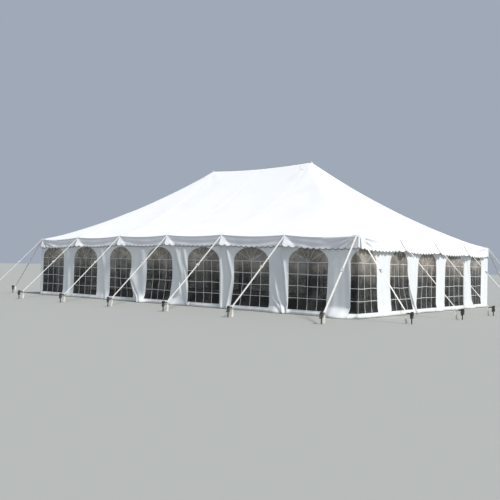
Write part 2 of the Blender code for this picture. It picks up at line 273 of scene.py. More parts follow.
class Field:
    """A number that varies over a surface. Arithmetic on it adds Math nodes to its tree."""

    def __init__(self, tree, socket):
        self.tree = tree
        self.socket = socket

    def math(self, operation, *others):
        inputs = dict(enumerate((self, *others)))
        node = add_node(self.tree, "ShaderNodeMath", inputs, operation=operation)
        return Field(self.tree, node.outputs[0])

    def __add__(self, other):
        return self.math("ADD", other)

    def __sub__(self, other):
        return self.math("SUBTRACT", other)

    def __mul__(self, other):
        return self.math("MULTIPLY", other)

    def __truediv__(self, other):
        return self.math("DIVIDE", other)

    def __rsub__(self, other):
        return self.math("MULTIPLY", -1.0).math("ADD", other)

    def __abs__(self):
        return self.math("ABSOLUTE")

    def soft_step(self, start, end):
        """0 before start, 1 after end, and a soft step between them."""
        inputs = {"Value": self, "From Min": start, "From Max": end}
        node = add_node(self.tree, "ShaderNodeMapRange", inputs, interpolation_type="SMOOTHSTEP")
        return Field(self.tree, node.outputs["Result"])


def add_node(tree, kind, inputs=None, **settings):
    """A node whose inputs, by name or number, are set to values or wired to fields and sockets."""
    node = tree.nodes.new(kind)
    for name, value in settings.items():
        setattr(node, name, value)
    for name, value in (inputs or {}).items():
        if isinstance(value, Field):
            tree.links.new(value.socket, node.inputs[name])
        elif isinstance(value, bpy.types.NodeSocket):
            tree.links.new(value, node.inputs[name])
        else:
            node.inputs[name].default_value = value
    return node


def new_tree(name, kind, inputs, outputs):
    """A node group, its inputs as fields by name, and its output node.

    Each socket is given as (name, kind) or (name, kind, start value).
    """
    tree = bpy.data.node_groups.new(name, kind)
    for in_out, sockets in (("INPUT", inputs), ("OUTPUT", outputs)):
        for socket_name, socket_kind, *start in sockets:
            socket_type = "NodeSocket" + socket_kind
            socket = tree.interface.new_socket(name=socket_name, in_out=in_out, socket_type=socket_type)
            if start:
                socket.default_value = start[0]
    given = {socket.name: Field(tree, socket) for socket in tree.nodes.new("NodeGroupInput").outputs}
    return tree, given, tree.nodes.new("NodeGroupOutput")


def put_out(tree, result, **outputs):
    """Wires fields to the outputs of a group, by name."""
    for name, field in outputs.items():
        tree.links.new(field.socket, result.inputs[name])


def end_tree(tree, geometry, material, result):
    """Ends a geometry tree: makes its instances real and sets their material."""
    real = add_node(tree, "GeometryNodeRealizeInstances", {"Geometry": geometry})
    dressed = {"Geometry": real.outputs[0], "Material": material}
    done = add_node(tree, "GeometryNodeSetMaterial", dressed)
    tree.links.new(done.outputs[0], result.inputs[0])


def grow(name, tree, values, start=None):
    """Runs a geometry tree on a mesh, with its inputs set by name, and gives a plain mesh."""
    obj = bpy.data.objects.new(name, start or bpy.data.meshes.new(name + "_start"))
    bpy.context.scene.collection.objects.link(obj)
    modifier = obj.modifiers.new("grow", "NODES")
    modifier.node_group = tree
    for item in tree.interface.items_tree:
        if item.in_out == "INPUT" and item.name in values:
            modifier[item.identifier] = values[item.name]
    graph = bpy.context.evaluated_depsgraph_get()
    mesh = bpy.data.meshes.new_from_object(obj.evaluated_get(graph))
    bpy.data.objects.remove(obj)
    return mesh


# %% [markdown]
# ## Effects that several finishes share
# A woven base cloth, creases, splashes near the ground and scuffs show on more than one piece. Each is
# a shader node group with its own inputs, built once, so a change to it reaches every material. The
# groups only give heights and masks. The shader itself stays in the material, where an export finds it.

# %% Helpers that read places and noise
def object_places(tree):
    """Object coordinates, as one socket and as three numbers."""
    places = tree.nodes.new("ShaderNodeTexCoord").outputs["Object"]
    split = add_node(tree, "ShaderNodeSeparateXYZ", {0: places})
    return places, [Field(tree, split.outputs[i]) for i in range(3)]


def flat_places(tree):
    """The flat cloth's own coordinates in metres, across and along."""
    split = add_node(tree, "ShaderNodeSeparateXYZ", {0: tree.nodes.new("ShaderNodeUVMap").outputs["UV"]})
    return Field(tree, split.outputs[0]), Field(tree, split.outputs[1])


def noise(tree, places, scale, detail=3.0):
    """Soft noise between 0 and 1, with about that many lumps to a metre."""
    node = add_node(tree, "ShaderNodeTexNoise", {"Vector": places, "Scale": scale, "Detail": detail})
    return Field(tree, node.outputs[0])


# %% Group: the weave that shows through a coating, or the ribs of webbing
HEIGHT_AND_MASK = [("Height", "Float"), ("Mask", "Float")]


def make_weave_group():
    inputs = [("Pitch across", "Float", 0.002), ("Pitch along", "Float", 0.002), ("Depth", "Float", 0.0001)]
    tree, given, result = new_tree("weave", "ShaderNodeTree", inputs, HEIGHT_AND_MASK)
    across, along = flat_places(tree)
    wave_across = (across * math.tau / given["Pitch across"]).math("SINE")
    wave_along = (along * math.tau / given["Pitch along"]).math("SINE")
    crossed = wave_across * wave_along
    put_out(tree, result, Height=crossed * given["Depth"], Mask=crossed * 0.5 + 0.5)
    return tree


WEAVE = make_weave_group()

# %% Group: creases left by folding and packing
CREASE_BEND = 0.5  # how far noise bends the straight creases, in metres
CREASE_WIDTH = 0.05  # share of the way from one crease to the next


def make_crease_group():
    inputs = [("Creases per metre", "Float", 1.4), ("Depth", "Float", 0.003)]
    tree, given, result = new_tree("packing creases", "ShaderNodeTree", inputs, HEIGHT_AND_MASK)
    places, _ = object_places(tree)
    bend = add_node(tree, "ShaderNodeTexNoise", {"Vector": places, "Scale": 1.7})
    bent = add_node(
        tree, "ShaderNodeVectorMath",
        {0: bend.outputs["Color"], 1: (CREASE_BEND,) * 3, 2: places}, operation="MULTIPLY_ADD",
    )
    crackle = {"Vector": bent.outputs[0], "Scale": given["Creases per metre"]}
    cells = add_node(tree, "ShaderNodeTexVoronoi", crackle, feature="DISTANCE_TO_EDGE")
    ridge = 1.0 - Field(tree, cells.outputs["Distance"]).soft_step(0.0, CREASE_WIDTH)
    mask = ridge * noise(tree, places, 1.1).soft_step(0.42, 0.62)
    height = (mask * 0.4 + noise(tree, places, 2.6, 2.0)) * given["Depth"]
    put_out(tree, result, Height=height, Mask=mask)
    return tree


CREASES = make_crease_group()

# %% Group: splashes of mud that fade with height
SPLASH_UNEVENNESS = 0.12  # how much their upper edge goes up and down


def make_splash_group():
    inputs = [("Reach", "Float", 0.22)]
    tree, given, result = new_tree("ground splashes", "ShaderNodeTree", inputs, [("Mask", "Float")])
    places, (_, _, up) = object_places(tree)
    uneven = up + noise(tree, places, 3.0) * SPLASH_UNEVENNESS - SPLASH_UNEVENNESS / 2
    low = 1.0 - uneven.soft_step(0.0, given["Reach"])
    spots = noise(tree, places, 26.0, 6.0).soft_step(0.45, 0.72)
    put_out(tree, result, Mask=low * (spots * 0.75 + 0.25))
    return tree


SPLASHES = make_splash_group()

# %% Group: scuffs on metal
SCRATCH_STRETCH = 0.15  # scratches run up and down, so their noise is drawn out that way
SCRATCH_DEPTH = 0.0006


def make_scuff_group():
    inputs = [("Scale", "Float", 20.0), ("Amount", "Float", 0.5)]
    tree, given, result = new_tree("metal scuffs", "ShaderNodeTree", inputs, HEIGHT_AND_MASK)
    places, _ = object_places(tree)
    drawn_out = {"Vector": places, "Scale": (1.0, 1.0, SCRATCH_STRETCH)}
    stretched = add_node(tree, "ShaderNodeMapping", drawn_out)
    scratches = noise(tree, stretched.outputs[0], given["Scale"] * 4.0, 5.0)
    patches = noise(tree, places, given["Scale"], 4.0)
    mask = (scratches * 0.5 + patches * 0.5).soft_step(0.42, 0.62) * given["Amount"]
    put_out(tree, result, Mask=mask, Height=(scratches - 0.5) * SCRATCH_DEPTH)
    return tree


SCUFFS = make_scuff_group()
print("shared effects:", [group.name for group in (WEAVE, CREASES, SPLASHES, SCUFFS)])

# %% [markdown]
# ## Finishes
# The tent's cloth is polyester scrim between two layers of white vinyl. It is satin and a little slick. The
# walls and the valances get a darker, bluer white than the roof: painted shade, for the cool grey that the
# shaded cloth shows. Each material below starts from one plain shader and adds its own masks and one bump,
# in metres, so depths can be judged like any other size.

# %% Build a material from a shader and masks
def new_material(name, colour, roughness, metallic=0.0, **sockets):
    """A material and its tree. sockets are set on the shader as they are, with _ for a space."""
    material = bpy.data.materials.new(name)
    material.use_nodes = True
    shader = material.node_tree.nodes["Principled BSDF"]
    shader.inputs["Base Color"].default_value = (*colour, 1.0)
    shader.inputs["Roughness"].default_value = roughness
    shader.inputs["Metallic"].default_value = metallic
    for socket, value in sockets.items():
        shader.inputs[socket.replace("_", " ")].default_value = value
    return material, material.node_tree, shader


def effect(tree, group, **values):
    """The outputs of a shared effect, by name. values are the group's inputs, with _ for a space."""
    inputs = {name.replace("_", " "): value for name, value in values.items()}
    node = add_node(tree, "ShaderNodeGroup", inputs, node_tree=group)
    return {output.name: Field(tree, output) for output in node.outputs}


def blend_colours(tree, mask, first, second):
    """first where the mask is 0 and second where it is 1. Each is a colour or a socket."""
    node = add_node(tree, "ShaderNodeMix", {"Factor": mask}, data_type="RGBA")
    for slot, colour in ((node.inputs[6], first), (node.inputs[7], second)):
        if isinstance(colour, bpy.types.NodeSocket):
            tree.links.new(colour, slot)
        else:
            slot.default_value = (*colour, 1.0)
    return node.outputs[2]


def finish_surface(tree, shader, colour, roughness, height):
    """Wires a colour, a roughness and a height in metres into the shader."""
    tree.links.new(colour, shader.inputs["Base Color"])
    tree.links.new(roughness.socket, shader.inputs["Roughness"])
    bump = add_node(tree, "ShaderNodeBump", {"Height": height, "Distance": 1.0, "Strength": 1.0})
    tree.links.new(bump.outputs["Normal"], shader.inputs["Normal"])


# %% Coated cloth for the roof, the valances and the walls
THREAD_PITCH = 0.0022
THREAD_DEPTH = 0.00006
DRIED_MUD = (0.30, 0.27, 0.17)


def make_cloth(name, colour, dull_colour, crease_depth, splash=0.0):
    """White vinyl cloth. dull_colour is where dust and creases tone it down."""
    material, tree, shader = new_material(name, colour, 0.48, Sheen_Weight=0.08, Sheen_Roughness=0.5)
    places, _ = object_places(tree)
    weave = effect(tree, WEAVE, Pitch_across=THREAD_PITCH, Pitch_along=THREAD_PITCH, Depth=THREAD_DEPTH)
    creases = effect(tree, CREASES, Depth=crease_depth)
    dust = noise(tree, places, 0.9, 5.0).soft_step(0.45, 0.75)
    toned = blend_colours(tree, dust * 0.6 + creases["Mask"] * 0.25, colour, dull_colour)
    if splash:
        mud = effect(tree, SPLASHES, Reach=0.16)
        toned = blend_colours(tree, mud["Mask"] * splash, toned, DRIED_MUD)
    roughness = noise(tree, places, 14.0) * 0.22 + 0.36
    finish_surface(tree, shader, toned, roughness, creases["Height"] + weave["Height"])
    return material


ROOF_CLOTH = make_cloth("roof_cloth", (0.87, 0.875, 0.88), (0.80, 0.805, 0.80), crease_depth=0.003)
# Walls and valances: the same white vinyl, painted darker and bluer than the roof as painted shade
WALL_CLOTH = make_cloth(
    "wall_cloth", (0.78, 0.805, 0.82), (0.68, 0.71, 0.73), crease_depth=0.004, splash=0.45
)
VALANCE_CLOTH = make_cloth("valance_cloth", (0.80, 0.805, 0.84), (0.72, 0.72, 0.76), crease_depth=0.003)

# %% [markdown]
# The clear sheet of a window is soft film. Fine scratches and haze make it greyer than glass. Its upper
# half is painted lighter and a little clearer still: painted light, for the brightness that shows through
# the arches. It ripples, so it mirrors the room in broken patches. It is drawn with plain alpha: that keeps
# the room behind it sharp, renders fast and survives an export, where refraction in a thin film would not.

# %% Clear film and the white bars on it
FILM_PAINTED_LIGHT_HEIGHTS = (0.9, 1.8)  # where the painted lighter upper half sets in and is full
FILM_CLEAR = (0.012, 0.011, 0.010)
FILM_HAZY = (0.080, 0.077, 0.066)
FILM_PAINTED_LIGHT = (0.60, 0.53, 0.44)
FILM_ALPHA = 0.48
BAR_WHITE = (0.64, 0.66, 0.67)
BAR_WORN = (0.44, 0.46, 0.46)


def make_film():
    material, tree, shader = new_material("window_film", (0.06, 0.06, 0.05), 0.12, Alpha=0.5, IOR=1.4)
    places, (_, _, up) = object_places(tree)
    haze = noise(tree, places, 3.1, 6.0).soft_step(0.40, 0.72)
    # painted light: the film is made lighter and clearer towards the top, for the brightness that shows
    # through the arches
    high = (up + noise(tree, places, 1.4, 2.0) * 0.5 - 0.25).soft_step(*FILM_PAINTED_LIGHT_HEIGHTS)
    streaks = blend_colours(tree, haze, FILM_CLEAR, FILM_HAZY)
    colour = blend_colours(tree, high * (haze * 0.4 + 0.6), streaks, FILM_PAINTED_LIGHT)
    tree.links.new((haze * 0.14 - high * 0.08 + FILM_ALPHA).socket, shader.inputs["Alpha"])
    ripples = noise(tree, places, 4.5, 1.0) * 0.010 + noise(tree, places, 17.0, 2.0) * 0.0012
    finish_surface(tree, shader, colour, haze * 0.18 + 0.07, ripples)
    return material


def make_bar_vinyl():
    material, tree, shader = new_material("bar_vinyl", BAR_WHITE, 0.42)
    places, _ = object_places(tree)
    wear = noise(tree, places, 9.0, 4.0).soft_step(0.4, 0.7)
    colour = blend_colours(tree, wear, BAR_WHITE, BAR_WORN)
    finish_surface(tree, shader, colour, wear * 0.2 + 0.32, noise(tree, places, 60.0) * 0.0004)
    return material


FILM = make_film()
BAR_VINYL = make_bar_vinyl()

# %% Webbing for the guys and for the bands of the roof
def make_webbing(name, colour, worn_colour, splash=0.0):
    material, tree, shader = new_material(name, colour, 0.8, Sheen_Weight=0.2, Sheen_Roughness=0.4)
    ribs = effect(tree, WEAVE, Pitch_across=0.0085, Pitch_along=0.0030, Depth=0.0005)
    places, _ = object_places(tree)
    fuzz = noise(tree, places, 160.0, 3.0)
    wear = noise(tree, places, 7.0, 4.0).soft_step(0.45, 0.7)
    toned = blend_colours(tree, ribs["Mask"] * 0.35 + wear * 0.65, colour, worn_colour)
    if splash:
        mud = effect(tree, SPLASHES, Reach=0.30)
        toned = blend_colours(tree, mud["Mask"] * splash, toned, DRIED_MUD)
    finish_surface(tree, shader, toned, fuzz * 0.2 + 0.68, ribs["Height"] + fuzz * 0.0003)
    return material


WEBBING = make_webbing("ivory_webbing", (0.83, 0.82, 0.77), (0.70, 0.68, 0.61), splash=0.6)
BAND_WEBBING = make_webbing("white_band", (0.86, 0.865, 0.87), (0.80, 0.80, 0.80))
# painted shade: a dark tape under the scallops, for the deep gap between the valance and the wall
HEM_SHADE_TAPE = make_webbing("painted_shade_hem_tape", (0.16, 0.16, 0.13), (0.24, 0.23, 0.18))
SLING_WEBBING = make_webbing("dark_sling", (0.030, 0.030, 0.034), (0.07, 0.065, 0.06), splash=0.4)

# %% Steel of the stakes, zinc of the fittings and aluminium of the poles
def make_metal(name, colour, worn_colour, roughness, metallic, scale, amount):
    material, tree, shader = new_material(name, colour, roughness, metallic)
    scuffs = effect(tree, SCUFFS, Scale=scale, Amount=amount)
    mud = effect(tree, SPLASHES, Reach=0.20)
    toned = blend_colours(tree, scuffs["Mask"], colour, worn_colour)
    toned = blend_colours(tree, mud["Mask"] * 0.25, toned, DRIED_MUD)
    finish_surface(tree, shader, toned, scuffs["Mask"] * 0.3 + roughness, scuffs["Height"])
    return material


STAKE_STEEL = make_metal(
    "stake_steel", (0.022, 0.022, 0.026), (0.07, 0.05, 0.04),
    roughness=0.50, metallic=0.4, scale=30.0, amount=0.7,
)
ZINC = make_metal(
    "zinc_plate", (0.78, 0.79, 0.79), (0.58, 0.58, 0.57),
    roughness=0.45, metallic=0.35, scale=45.0, amount=0.8,
)
# Aluminium painted a dull dark grey: painted shade, for poles that stand in the tent's shade
POLE_METAL = make_metal(
    "pole_aluminium", (0.34, 0.35, 0.36), (0.20, 0.20, 0.20),
    roughness=0.38, metallic=0.9, scale=12.0, amount=0.7,
)
print("finishes:", [material.name for material in bpy.data.materials if material.use_nodes])

# %% [markdown]
# ## Meshes
# Sheets start as grids of points that numpy bends all at once. A small collector joins shapes into one
# mesh, with flat coordinates in metres beside the points, so a weave keeps its scale along a strap.

# %% Shapes that become one mesh
def shade(mesh, sharp_degrees=None):
    """Shades a mesh smooth, but keeps edges sharp that turn by more than an angle."""
    mesh.shade_smooth()
    if sharp_degrees:
        mesh.set_sharp_from_angle(angle=math.radians(sharp_degrees))


class Shapes:
    """Collects shapes, each with points, faces and flat places, and joins them into one mesh."""

    def __init__(self):
        self.points = []
        self.faces = []
        self.flat = []
        self.count = 0

    def add(self, points, faces, flat=None):
        points = np.asarray(points, float).reshape(-1, 3)
        self.faces += [tuple(int(i) + self.count for i in face) for face in faces]
        self.points.append(points)
        self.flat.append(points[:, :2] if flat is None else np.asarray(flat, float).reshape(-1, 2))
        self.count += len(points)

    def mesh(self, name, sharp_degrees=None):
        mesh = bpy.data.meshes.new(name)
        mesh.from_pydata(np.concatenate(self.points).tolist(), [], self.faces)
        corners = np.empty(len(mesh.loops), np.int32)
        mesh.loops.foreach_get("vertex_index", corners)
        places = np.concatenate(self.flat)[corners]
        mesh.uv_layers.new(name="UVMap").data.foreach_set("uv", places.astype(np.float32).ravel())
        shade(mesh, sharp_degrees)
        return mesh


def grid_faces(columns, rows, closed=False, tube=False):
    """Quads of a grid whose points run row by row within each column.

    closed joins the last column to the first, and tube the last row to the first.
    """
    faces = []
    for i in range(columns if closed else columns - 1):
        here, following = i * rows, (i + 1) % columns * rows
        for j in range(rows if tube else rows - 1):
            k = (j + 1) % rows
            faces.append((here + j, following + j, following + k, here + k))
    return faces


def add_piece(name, mesh, material=None, stands_for=(), thickness=0.0):
    """Shows a finished mesh as a piece that rides on the tent's one body."""
    mesh.name = name
    if material:
        mesh.materials.clear()
        mesh.materials.append(material)
    piece = bpy.data.objects.new(name, mesh)
    bpy.context.scene.collection.objects.link(piece)
    if thickness:
        solid = piece.modifiers.new("thickness", "SOLIDIFY")
        solid.thickness = thickness
        solid.offset = -1.0
    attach(piece, BODY)
    if stands_for:
        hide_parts(*stands_for)
    return piece


# %% Turned shapes and flat bands
def turned_shape(shapes, profile, centre, sides):
    """Adds a round shape from a profile of (radius, height), from its foot up, closed at both ends."""
    angles = math.tau * np.arange(sides) / sides
    radius, height = np.array(profile, float).T
    points = np.stack([
        centre[0] + np.cos(angles)[:, None] * radius,
        centre[1] + np.sin(angles)[:, None] * radius,
        np.broadcast_to(centre[2] + height, (sides, len(profile))),
    ], axis=-1)
    rows = len(profile)
    foot = tuple(i * rows for i in reversed(range(sides)))
    top = tuple(i * rows + rows - 1 for i in range(sides))
    around = np.broadcast_to(angles[:, None] * radius.max(), points.shape[:2])
    flat = np.stack([around, np.broadcast_to(height, points.shape[:2])], axis=-1)
    shapes.add(points, grid_faces(sides, rows, closed=True) + [foot, top], flat)


def unit(vectors):
    return vectors / np.linalg.norm(vectors, axis=-1, keepdims=True)


def band_faces(count):
    """Faces of a closed band from its four edge lines, each of that many points."""
    faces = [face[::-1] for face in grid_faces(4, count, closed=True)]
    start = (0, count, 2 * count, 3 * count)
    end = tuple(i * count + count - 1 for i in (3, 2, 1, 0))
    return faces + [start, end]


def flat_band(shapes, centres, across, width, thickness):
    """Adds a band through a line of points. across is the direction of its width at each of them."""
    centres = np.asarray(centres, float)
    ahead = unit(np.gradient(centres, axis=0))
    face = unit(np.cross(ahead, np.broadcast_to(np.asarray(across, float), centres.shape)))
    across = np.cross(face, ahead)
    corners = [(-0.5, -0.5), (0.5, -0.5), (0.5, 0.5), (-0.5, 0.5)]
    points = np.stack([centres + across * width * a + face * thickness * b for a, b in corners])
    count = len(centres)
    length = np.concatenate([[0], np.cumsum(np.linalg.norm(np.diff(centres, axis=0), axis=1))])
    flat = np.stack([np.stack([np.full(count, a * width), length], axis=-1) for a, _ in corners])
    shapes.add(points, band_faces(count), flat)


# %% [markdown]
# ## The canopy
# The roof is one hipped cloth: each slope climbs from the eave to the ridge and hangs in a shallow
# curve, the eave dips between the side poles, and short folds fan out from every pole top. Modelled by
# hand, every change of bay or height would mean new points. The shape follows a rule, so a Geometry
# Nodes tree makes it from a plain grid, with the sizes as named inputs.

# %% Canopy: sizes
CLOTH_THICKNESS = 0.0015
CANOPY_CELLS_PER_BAY = 36
CANOPY_COLUMNS = CANOPY_CELLS_PER_BAY * LONG_BAYS + 1
CANOPY_ROWS = CANOPY_CELLS_PER_BAY * SHORT_BAYS + 1
HIP_ROUNDING = 0.04  # how softly the slopes meet, as a share of the climb
RIDGE_ROUNDING = 0.02
POLE_FOLDS = 9.0  # in a whole turn round a pole top
POLE_FOLD_START = (0.02, 0.25)  # how far from it they set in and are full
PEAK_FOLDS = 10.0
PEAK_FOLD_START = (0.05, 0.5)
PEAK_FOLD_DECAY = 1.1  # for each metre
BILLOWS_PER_METRE = 0.55
SLOPE_OVER_PLAN = 1.16  # how much longer a slope is than its plan
CANOPY_SIZES = {
    "Half length": HALF_LENGTH,
    "Half width": HALF_WIDTH,
    "Peak x": PEAK_X,
    "Bay": BAY,
    "Pole inset": POLE_INSET,
    "Eave height": EAVE_HEIGHT,
    "Eave crown": EAVE_CROWN,
    "Roof height": ROOF_HEIGHT,
    "Roof sag": ROOF_SAG,
    "Ridge sag": RIDGE_SAG,
    "Eave sag": EAVE_SAG,
    "Eave sag reach": EAVE_SAG_REACH,
    "Fold depth": 0.010,
    "Fold reach": 0.55,
    "Billow": 0.035,
}


# %% Canopy: the tree that lifts a grid into a roof
def dips_and_folds(size, from_corner, from_edge):
    """Height to take off near one pair of eaves: the dips between poles and the folds at pole tops."""
    bay, inset = size["Bay"], size["Pole inset"]
    in_end = ((from_corner - inset) / (bay - inset)).math("MAXIMUM", 0.0)
    is_end = from_corner.math("LESS_THAN", bay)
    share = in_end * is_end + (from_corner / bay).math("FRACT") * (1.0 - is_end)
    dying = (from_edge / size["Eave sag reach"] * -1.0).math("EXPONENT")
    dip = share * (1.0 - share) * 4.0 * size["Eave sag"] * dying
    to_pole = ((from_corner / bay + 0.5).math("FRACT") - 0.5) * bay
    away = (to_pole * to_pole + from_edge * from_edge).math("SQRT")
    fan = (to_pole.math("ARCTAN2", from_edge) * POLE_FOLDS).math("COSINE")
    fade = (away / size["Fold reach"] * -1.0).math("EXPONENT") * away.soft_step(*POLE_FOLD_START)
    return dip - fan * fade * size["Fold depth"]


def make_canopy_tree():
    inputs = [(name, "Float", value) for name, value in CANOPY_SIZES.items()]
    inputs += [("Columns", "Int", 7), ("Rows", "Int", 5), ("Cloth", "Material")]
    tree, size, result = new_tree("hipped canopy", "GeometryNodeTree", inputs, [("Canopy", "Geometry")])
    grid = add_node(tree, "GeometryNodeMeshGrid", {
        "Size X": size["Half length"] * 2.0,
        "Size Y": size["Half width"] * 2.0,
        "Vertices X": size["Columns"],
        "Vertices Y": size["Rows"],
    })
    position = tree.nodes.new("GeometryNodeInputPosition")
    split = add_node(tree, "ShaderNodeSeparateXYZ", {0: position.outputs[0]})
    x, y = Field(tree, split.outputs[0]), Field(tree, split.outputs[1])
    from_end = size["Half length"] - abs(x)
    from_side = size["Half width"] - abs(y)
    climb_end = from_end / (size["Half length"] - size["Peak x"])
    climb_side = from_side / size["Half width"]
    climb = climb_end.math("SMOOTH_MIN", climb_side, HIP_ROUNDING)
    climb = climb.math("SMOOTH_MIN", 1.0, RIDGE_ROUNDING)

    hang = climb * (1.0 - climb) * 4.0 * size["Roof sag"]
    between_peaks = (1.0 - (x * x) / (size["Peak x"] * size["Peak x"])).math("MAXIMUM", 0.0)
    hang = hang + between_peaks * climb * climb * size["Ridge sag"]
    hang = hang + dips_and_folds(size, from_end, from_side) + dips_and_folds(size, from_side, from_end)
    arch = 1.0 - (x * x) / (size["Half length"] * size["Half length"])
    crown = arch * (from_side / size["Eave sag reach"] * -1.0).math("EXPONENT") * size["Eave crown"]

    to_peak = abs(x) - size["Peak x"]
    away = (to_peak * to_peak + y * y).math("SQRT")
    fan = (y.math("ARCTAN2", to_peak) * PEAK_FOLDS).math("COSINE")
    fade = (away * -PEAK_FOLD_DECAY).math("EXPONENT") * away.soft_step(*PEAK_FOLD_START)
    pull = fade * fan * size["Fold depth"]
    plan = add_node(tree, "ShaderNodeCombineXYZ", {0: x, 1: y})
    uneven = noise(tree, plan.outputs[0], BILLOWS_PER_METRE, 1.0) - 0.5
    billow = uneven * climb * (1.0 - climb) * 4.0 * size["Billow"]
    height = size["Eave height"] + size["Roof height"] * climb - hang + crown + pull + billow
    place = add_node(tree, "ShaderNodeCombineXYZ", {0: x, 1: y, 2: height})

    nearer_end = climb_end.math("LESS_THAN", climb_side)
    on_end = add_node(tree, "GeometryNodeFieldOnDomain", {0: nearer_end}, domain="FACE")
    on_end = Field(tree, on_end.outputs[0])
    along = y * on_end + x * (1.0 - on_end)
    up_slope = from_end * on_end + from_side * (1.0 - on_end)
    flat = add_node(tree, "ShaderNodeCombineXYZ", {0: along, 1: up_slope * SLOPE_OVER_PLAN})
    marked = add_node(
        tree, "GeometryNodeStoreNamedAttribute",
        {"Geometry": grid.outputs["Mesh"], "Name": "UVMap", "Value": flat.outputs[0]},
        data_type="FLOAT2", domain="CORNER",
    )
    lifted = {"Geometry": marked.outputs[0], "Position": place.outputs[0]}
    raised = add_node(tree, "GeometryNodeSetPosition", lifted)
    smooth = add_node(tree, "GeometryNodeSetShadeSmooth", {"Geometry": raised.outputs[0]})
    end_tree(tree, smooth.outputs[0], size["Cloth"], result)
    return tree


# %% Canopy: grow it and lay things on it
canopy_values = {**CANOPY_SIZES, "Columns": CANOPY_COLUMNS, "Rows": CANOPY_ROWS, "Cloth": ROOF_CLOTH}
canopy_mesh = grow("canopy_cloth", make_canopy_tree(), canopy_values)
canopy = add_piece("canopy_cloth", canopy_mesh, None, ["canopy"], CLOTH_THICKNESS)
ROOF = BVHTree.FromObject(canopy, bpy.context.evaluated_depsgraph_get())


def on_roof(x, y, lift):
    """The point of the canopy above a place in the plan, lifted off the cloth."""
    point, normal, _, _ = ROOF.ray_cast(Vector((x, y, PEAK_HEIGHT + 1)), Vector((0, 0, -1)))
    return np.array(point + normal * lift)


# %% [markdown]
# ## Bands, patches and rings of the roof
# Webbing is sewn along the hips, the ridge and the pole lines, and takes the pull of the poles. The
# lines are laid on the canopy first. A second tree then turns any line into a flat band, with the
# band's width and thickness as inputs.

# %% Bands: the tree that turns lines into flat bands
def sweep_lines(tree, given):
    """Sweeps the lines that a tree is given into flat strips of its width and thickness."""
    curves = add_node(tree, "GeometryNodeMeshToCurve", {"Mesh": given["Lines"]})
    stepped = {"Curve": curves.outputs[0], "Length": given["Step"]}
    even = add_node(tree, "GeometryNodeResampleCurve", stepped, mode="LENGTH")
    level = add_node(tree, "GeometryNodeSetCurveNormal", {"Curve": even.outputs[0]}, mode="Z_UP")
    rectangle = {"Width": given["Width"], "Height": given["Thickness"]}
    section = add_node(tree, "GeometryNodeCurvePrimitiveQuadrilateral", rectangle)
    swept = {"Curve": level.outputs[0], "Profile Curve": section.outputs[0], "Fill Caps": True}
    return add_node(tree, "GeometryNodeCurveToMesh", swept).outputs[0]


def make_band_tree():
    inputs = [
        ("Lines", "Geometry"), ("Width", "Float", 0.05), ("Thickness", "Float", 0.002),
        ("Step", "Float", 0.08), ("Material", "Material"),
    ]
    tree, given, result = new_tree("flat bands", "GeometryNodeTree", inputs, [("Bands", "Geometry")])
    end_tree(tree, sweep_lines(tree, given), given["Material"], result)
    return tree


BAND_TREE = make_band_tree()


def line_mesh(name, lines):
    """A mesh of edges through lists of points."""
    points, edges = [], []
    for line in lines:
        first = len(points)
        points += [tuple(map(float, point)) for point in line]
        edges += [(i, i + 1) for i in range(first, len(points) - 1)]
    mesh = bpy.data.meshes.new(name)
    mesh.from_pydata(points, edges, [])
    return mesh


# %% Bands: the ridge, the hips and the pole lines
BAND_LIFT = 0.001
BAND_EAVE_GAP = 0.02
BAND_TOP_GAP = 0.03  # from the end of a pole line's band to the hip or ridge that it meets
BAND_POINT_STEP = 0.12
BAND_LEAST_STEPS = 8


def roof_lines(lift):
    """Lines over the canopy: the ridge, the four hips and the pole lines up to them."""
    edge_x, edge_y = HALF_LENGTH - BAND_EAVE_GAP, HALF_WIDTH - BAND_EAVE_GAP
    ends = [((-PEAK_X, 0), (PEAK_X, 0))]
    ends += [((sx * PEAK_X, 0), (sx * edge_x, sy * edge_y)) for sx in (-1, 1) for sy in (-1, 1)]
    for sign in (-1, 1):
        for x in pole_lines("front")[1:-1]:
            top = max(0.0, (abs(x) - PEAK_X) / (HALF_LENGTH - PEAK_X)) * HALF_WIDTH + BAND_TOP_GAP
            ends.append(((x, sign * top), (x, sign * edge_y)))
        for y in pole_lines("right")[1:-1]:
            top = PEAK_X + abs(y) / HALF_WIDTH * (HALF_LENGTH - PEAK_X) + BAND_TOP_GAP
            ends.append(((sign * top, y), (sign * edge_x, y)))
    lines = []
    for first, last in ends:
        steps = max(BAND_LEAST_STEPS, int(math.dist(first, last) / BAND_POINT_STEP))
        places = [np.array(first) + (np.array(last) - first) * i / steps for i in range(steps + 1)]
        lines.append([on_roof(x, y, lift) for x, y in places])
    return lines


band_values = {"Width": 0.05, "Thickness": 0.003, "Step": 0.10, "Material": BAND_WEBBING}
bands = grow("roof_bands", BAND_TREE, band_values, line_mesh("roof_lines", roof_lines(BAND_LIFT)))
shade(bands, 40)
add_piece("roof_bands", bands)
print("roof bands", len(bands.polygons), "faces")

# %% [markdown]
# A doubled patch of cloth spreads the pull at each pole top, and the pole's pin comes up through a
# ring in it. Patches are small sheets laid on the roof. The rings are all alike, so a tree makes one
# ring and its pin and sets a copy on every point it is given.

# %% Patches at the pole tops and the peaks
PATCH_LIFT = 0.0025
PATCH_STEPS = 10
PATCH_RIM = 0.02  # share of a patch that its rounded rim takes
PATCH_SIZE = 0.34
PATCH_MARGIN = 0.012
PEAK_PATCH_RADIUS = 0.42
PEAK_PATCH_HOLE = 0.02
PEAK_PATCH_SIDES = 32
PATCH_TAPER = 0.6  # share of its width that a patch loses on its way up
PATCH_THICKNESS = 0.0012
WELD_DISTANCE = 0.0001


def add_patch(shapes, places):
    """Adds a patch through plan places, given as (columns, rows, 2), on the roof."""
    columns, rows, _ = places.shape
    points = [on_roof(x, y, PATCH_LIFT) for x, y in places.reshape(-1, 2)]
    shapes.add(points, grid_faces(columns, rows), places.reshape(-1, 2))


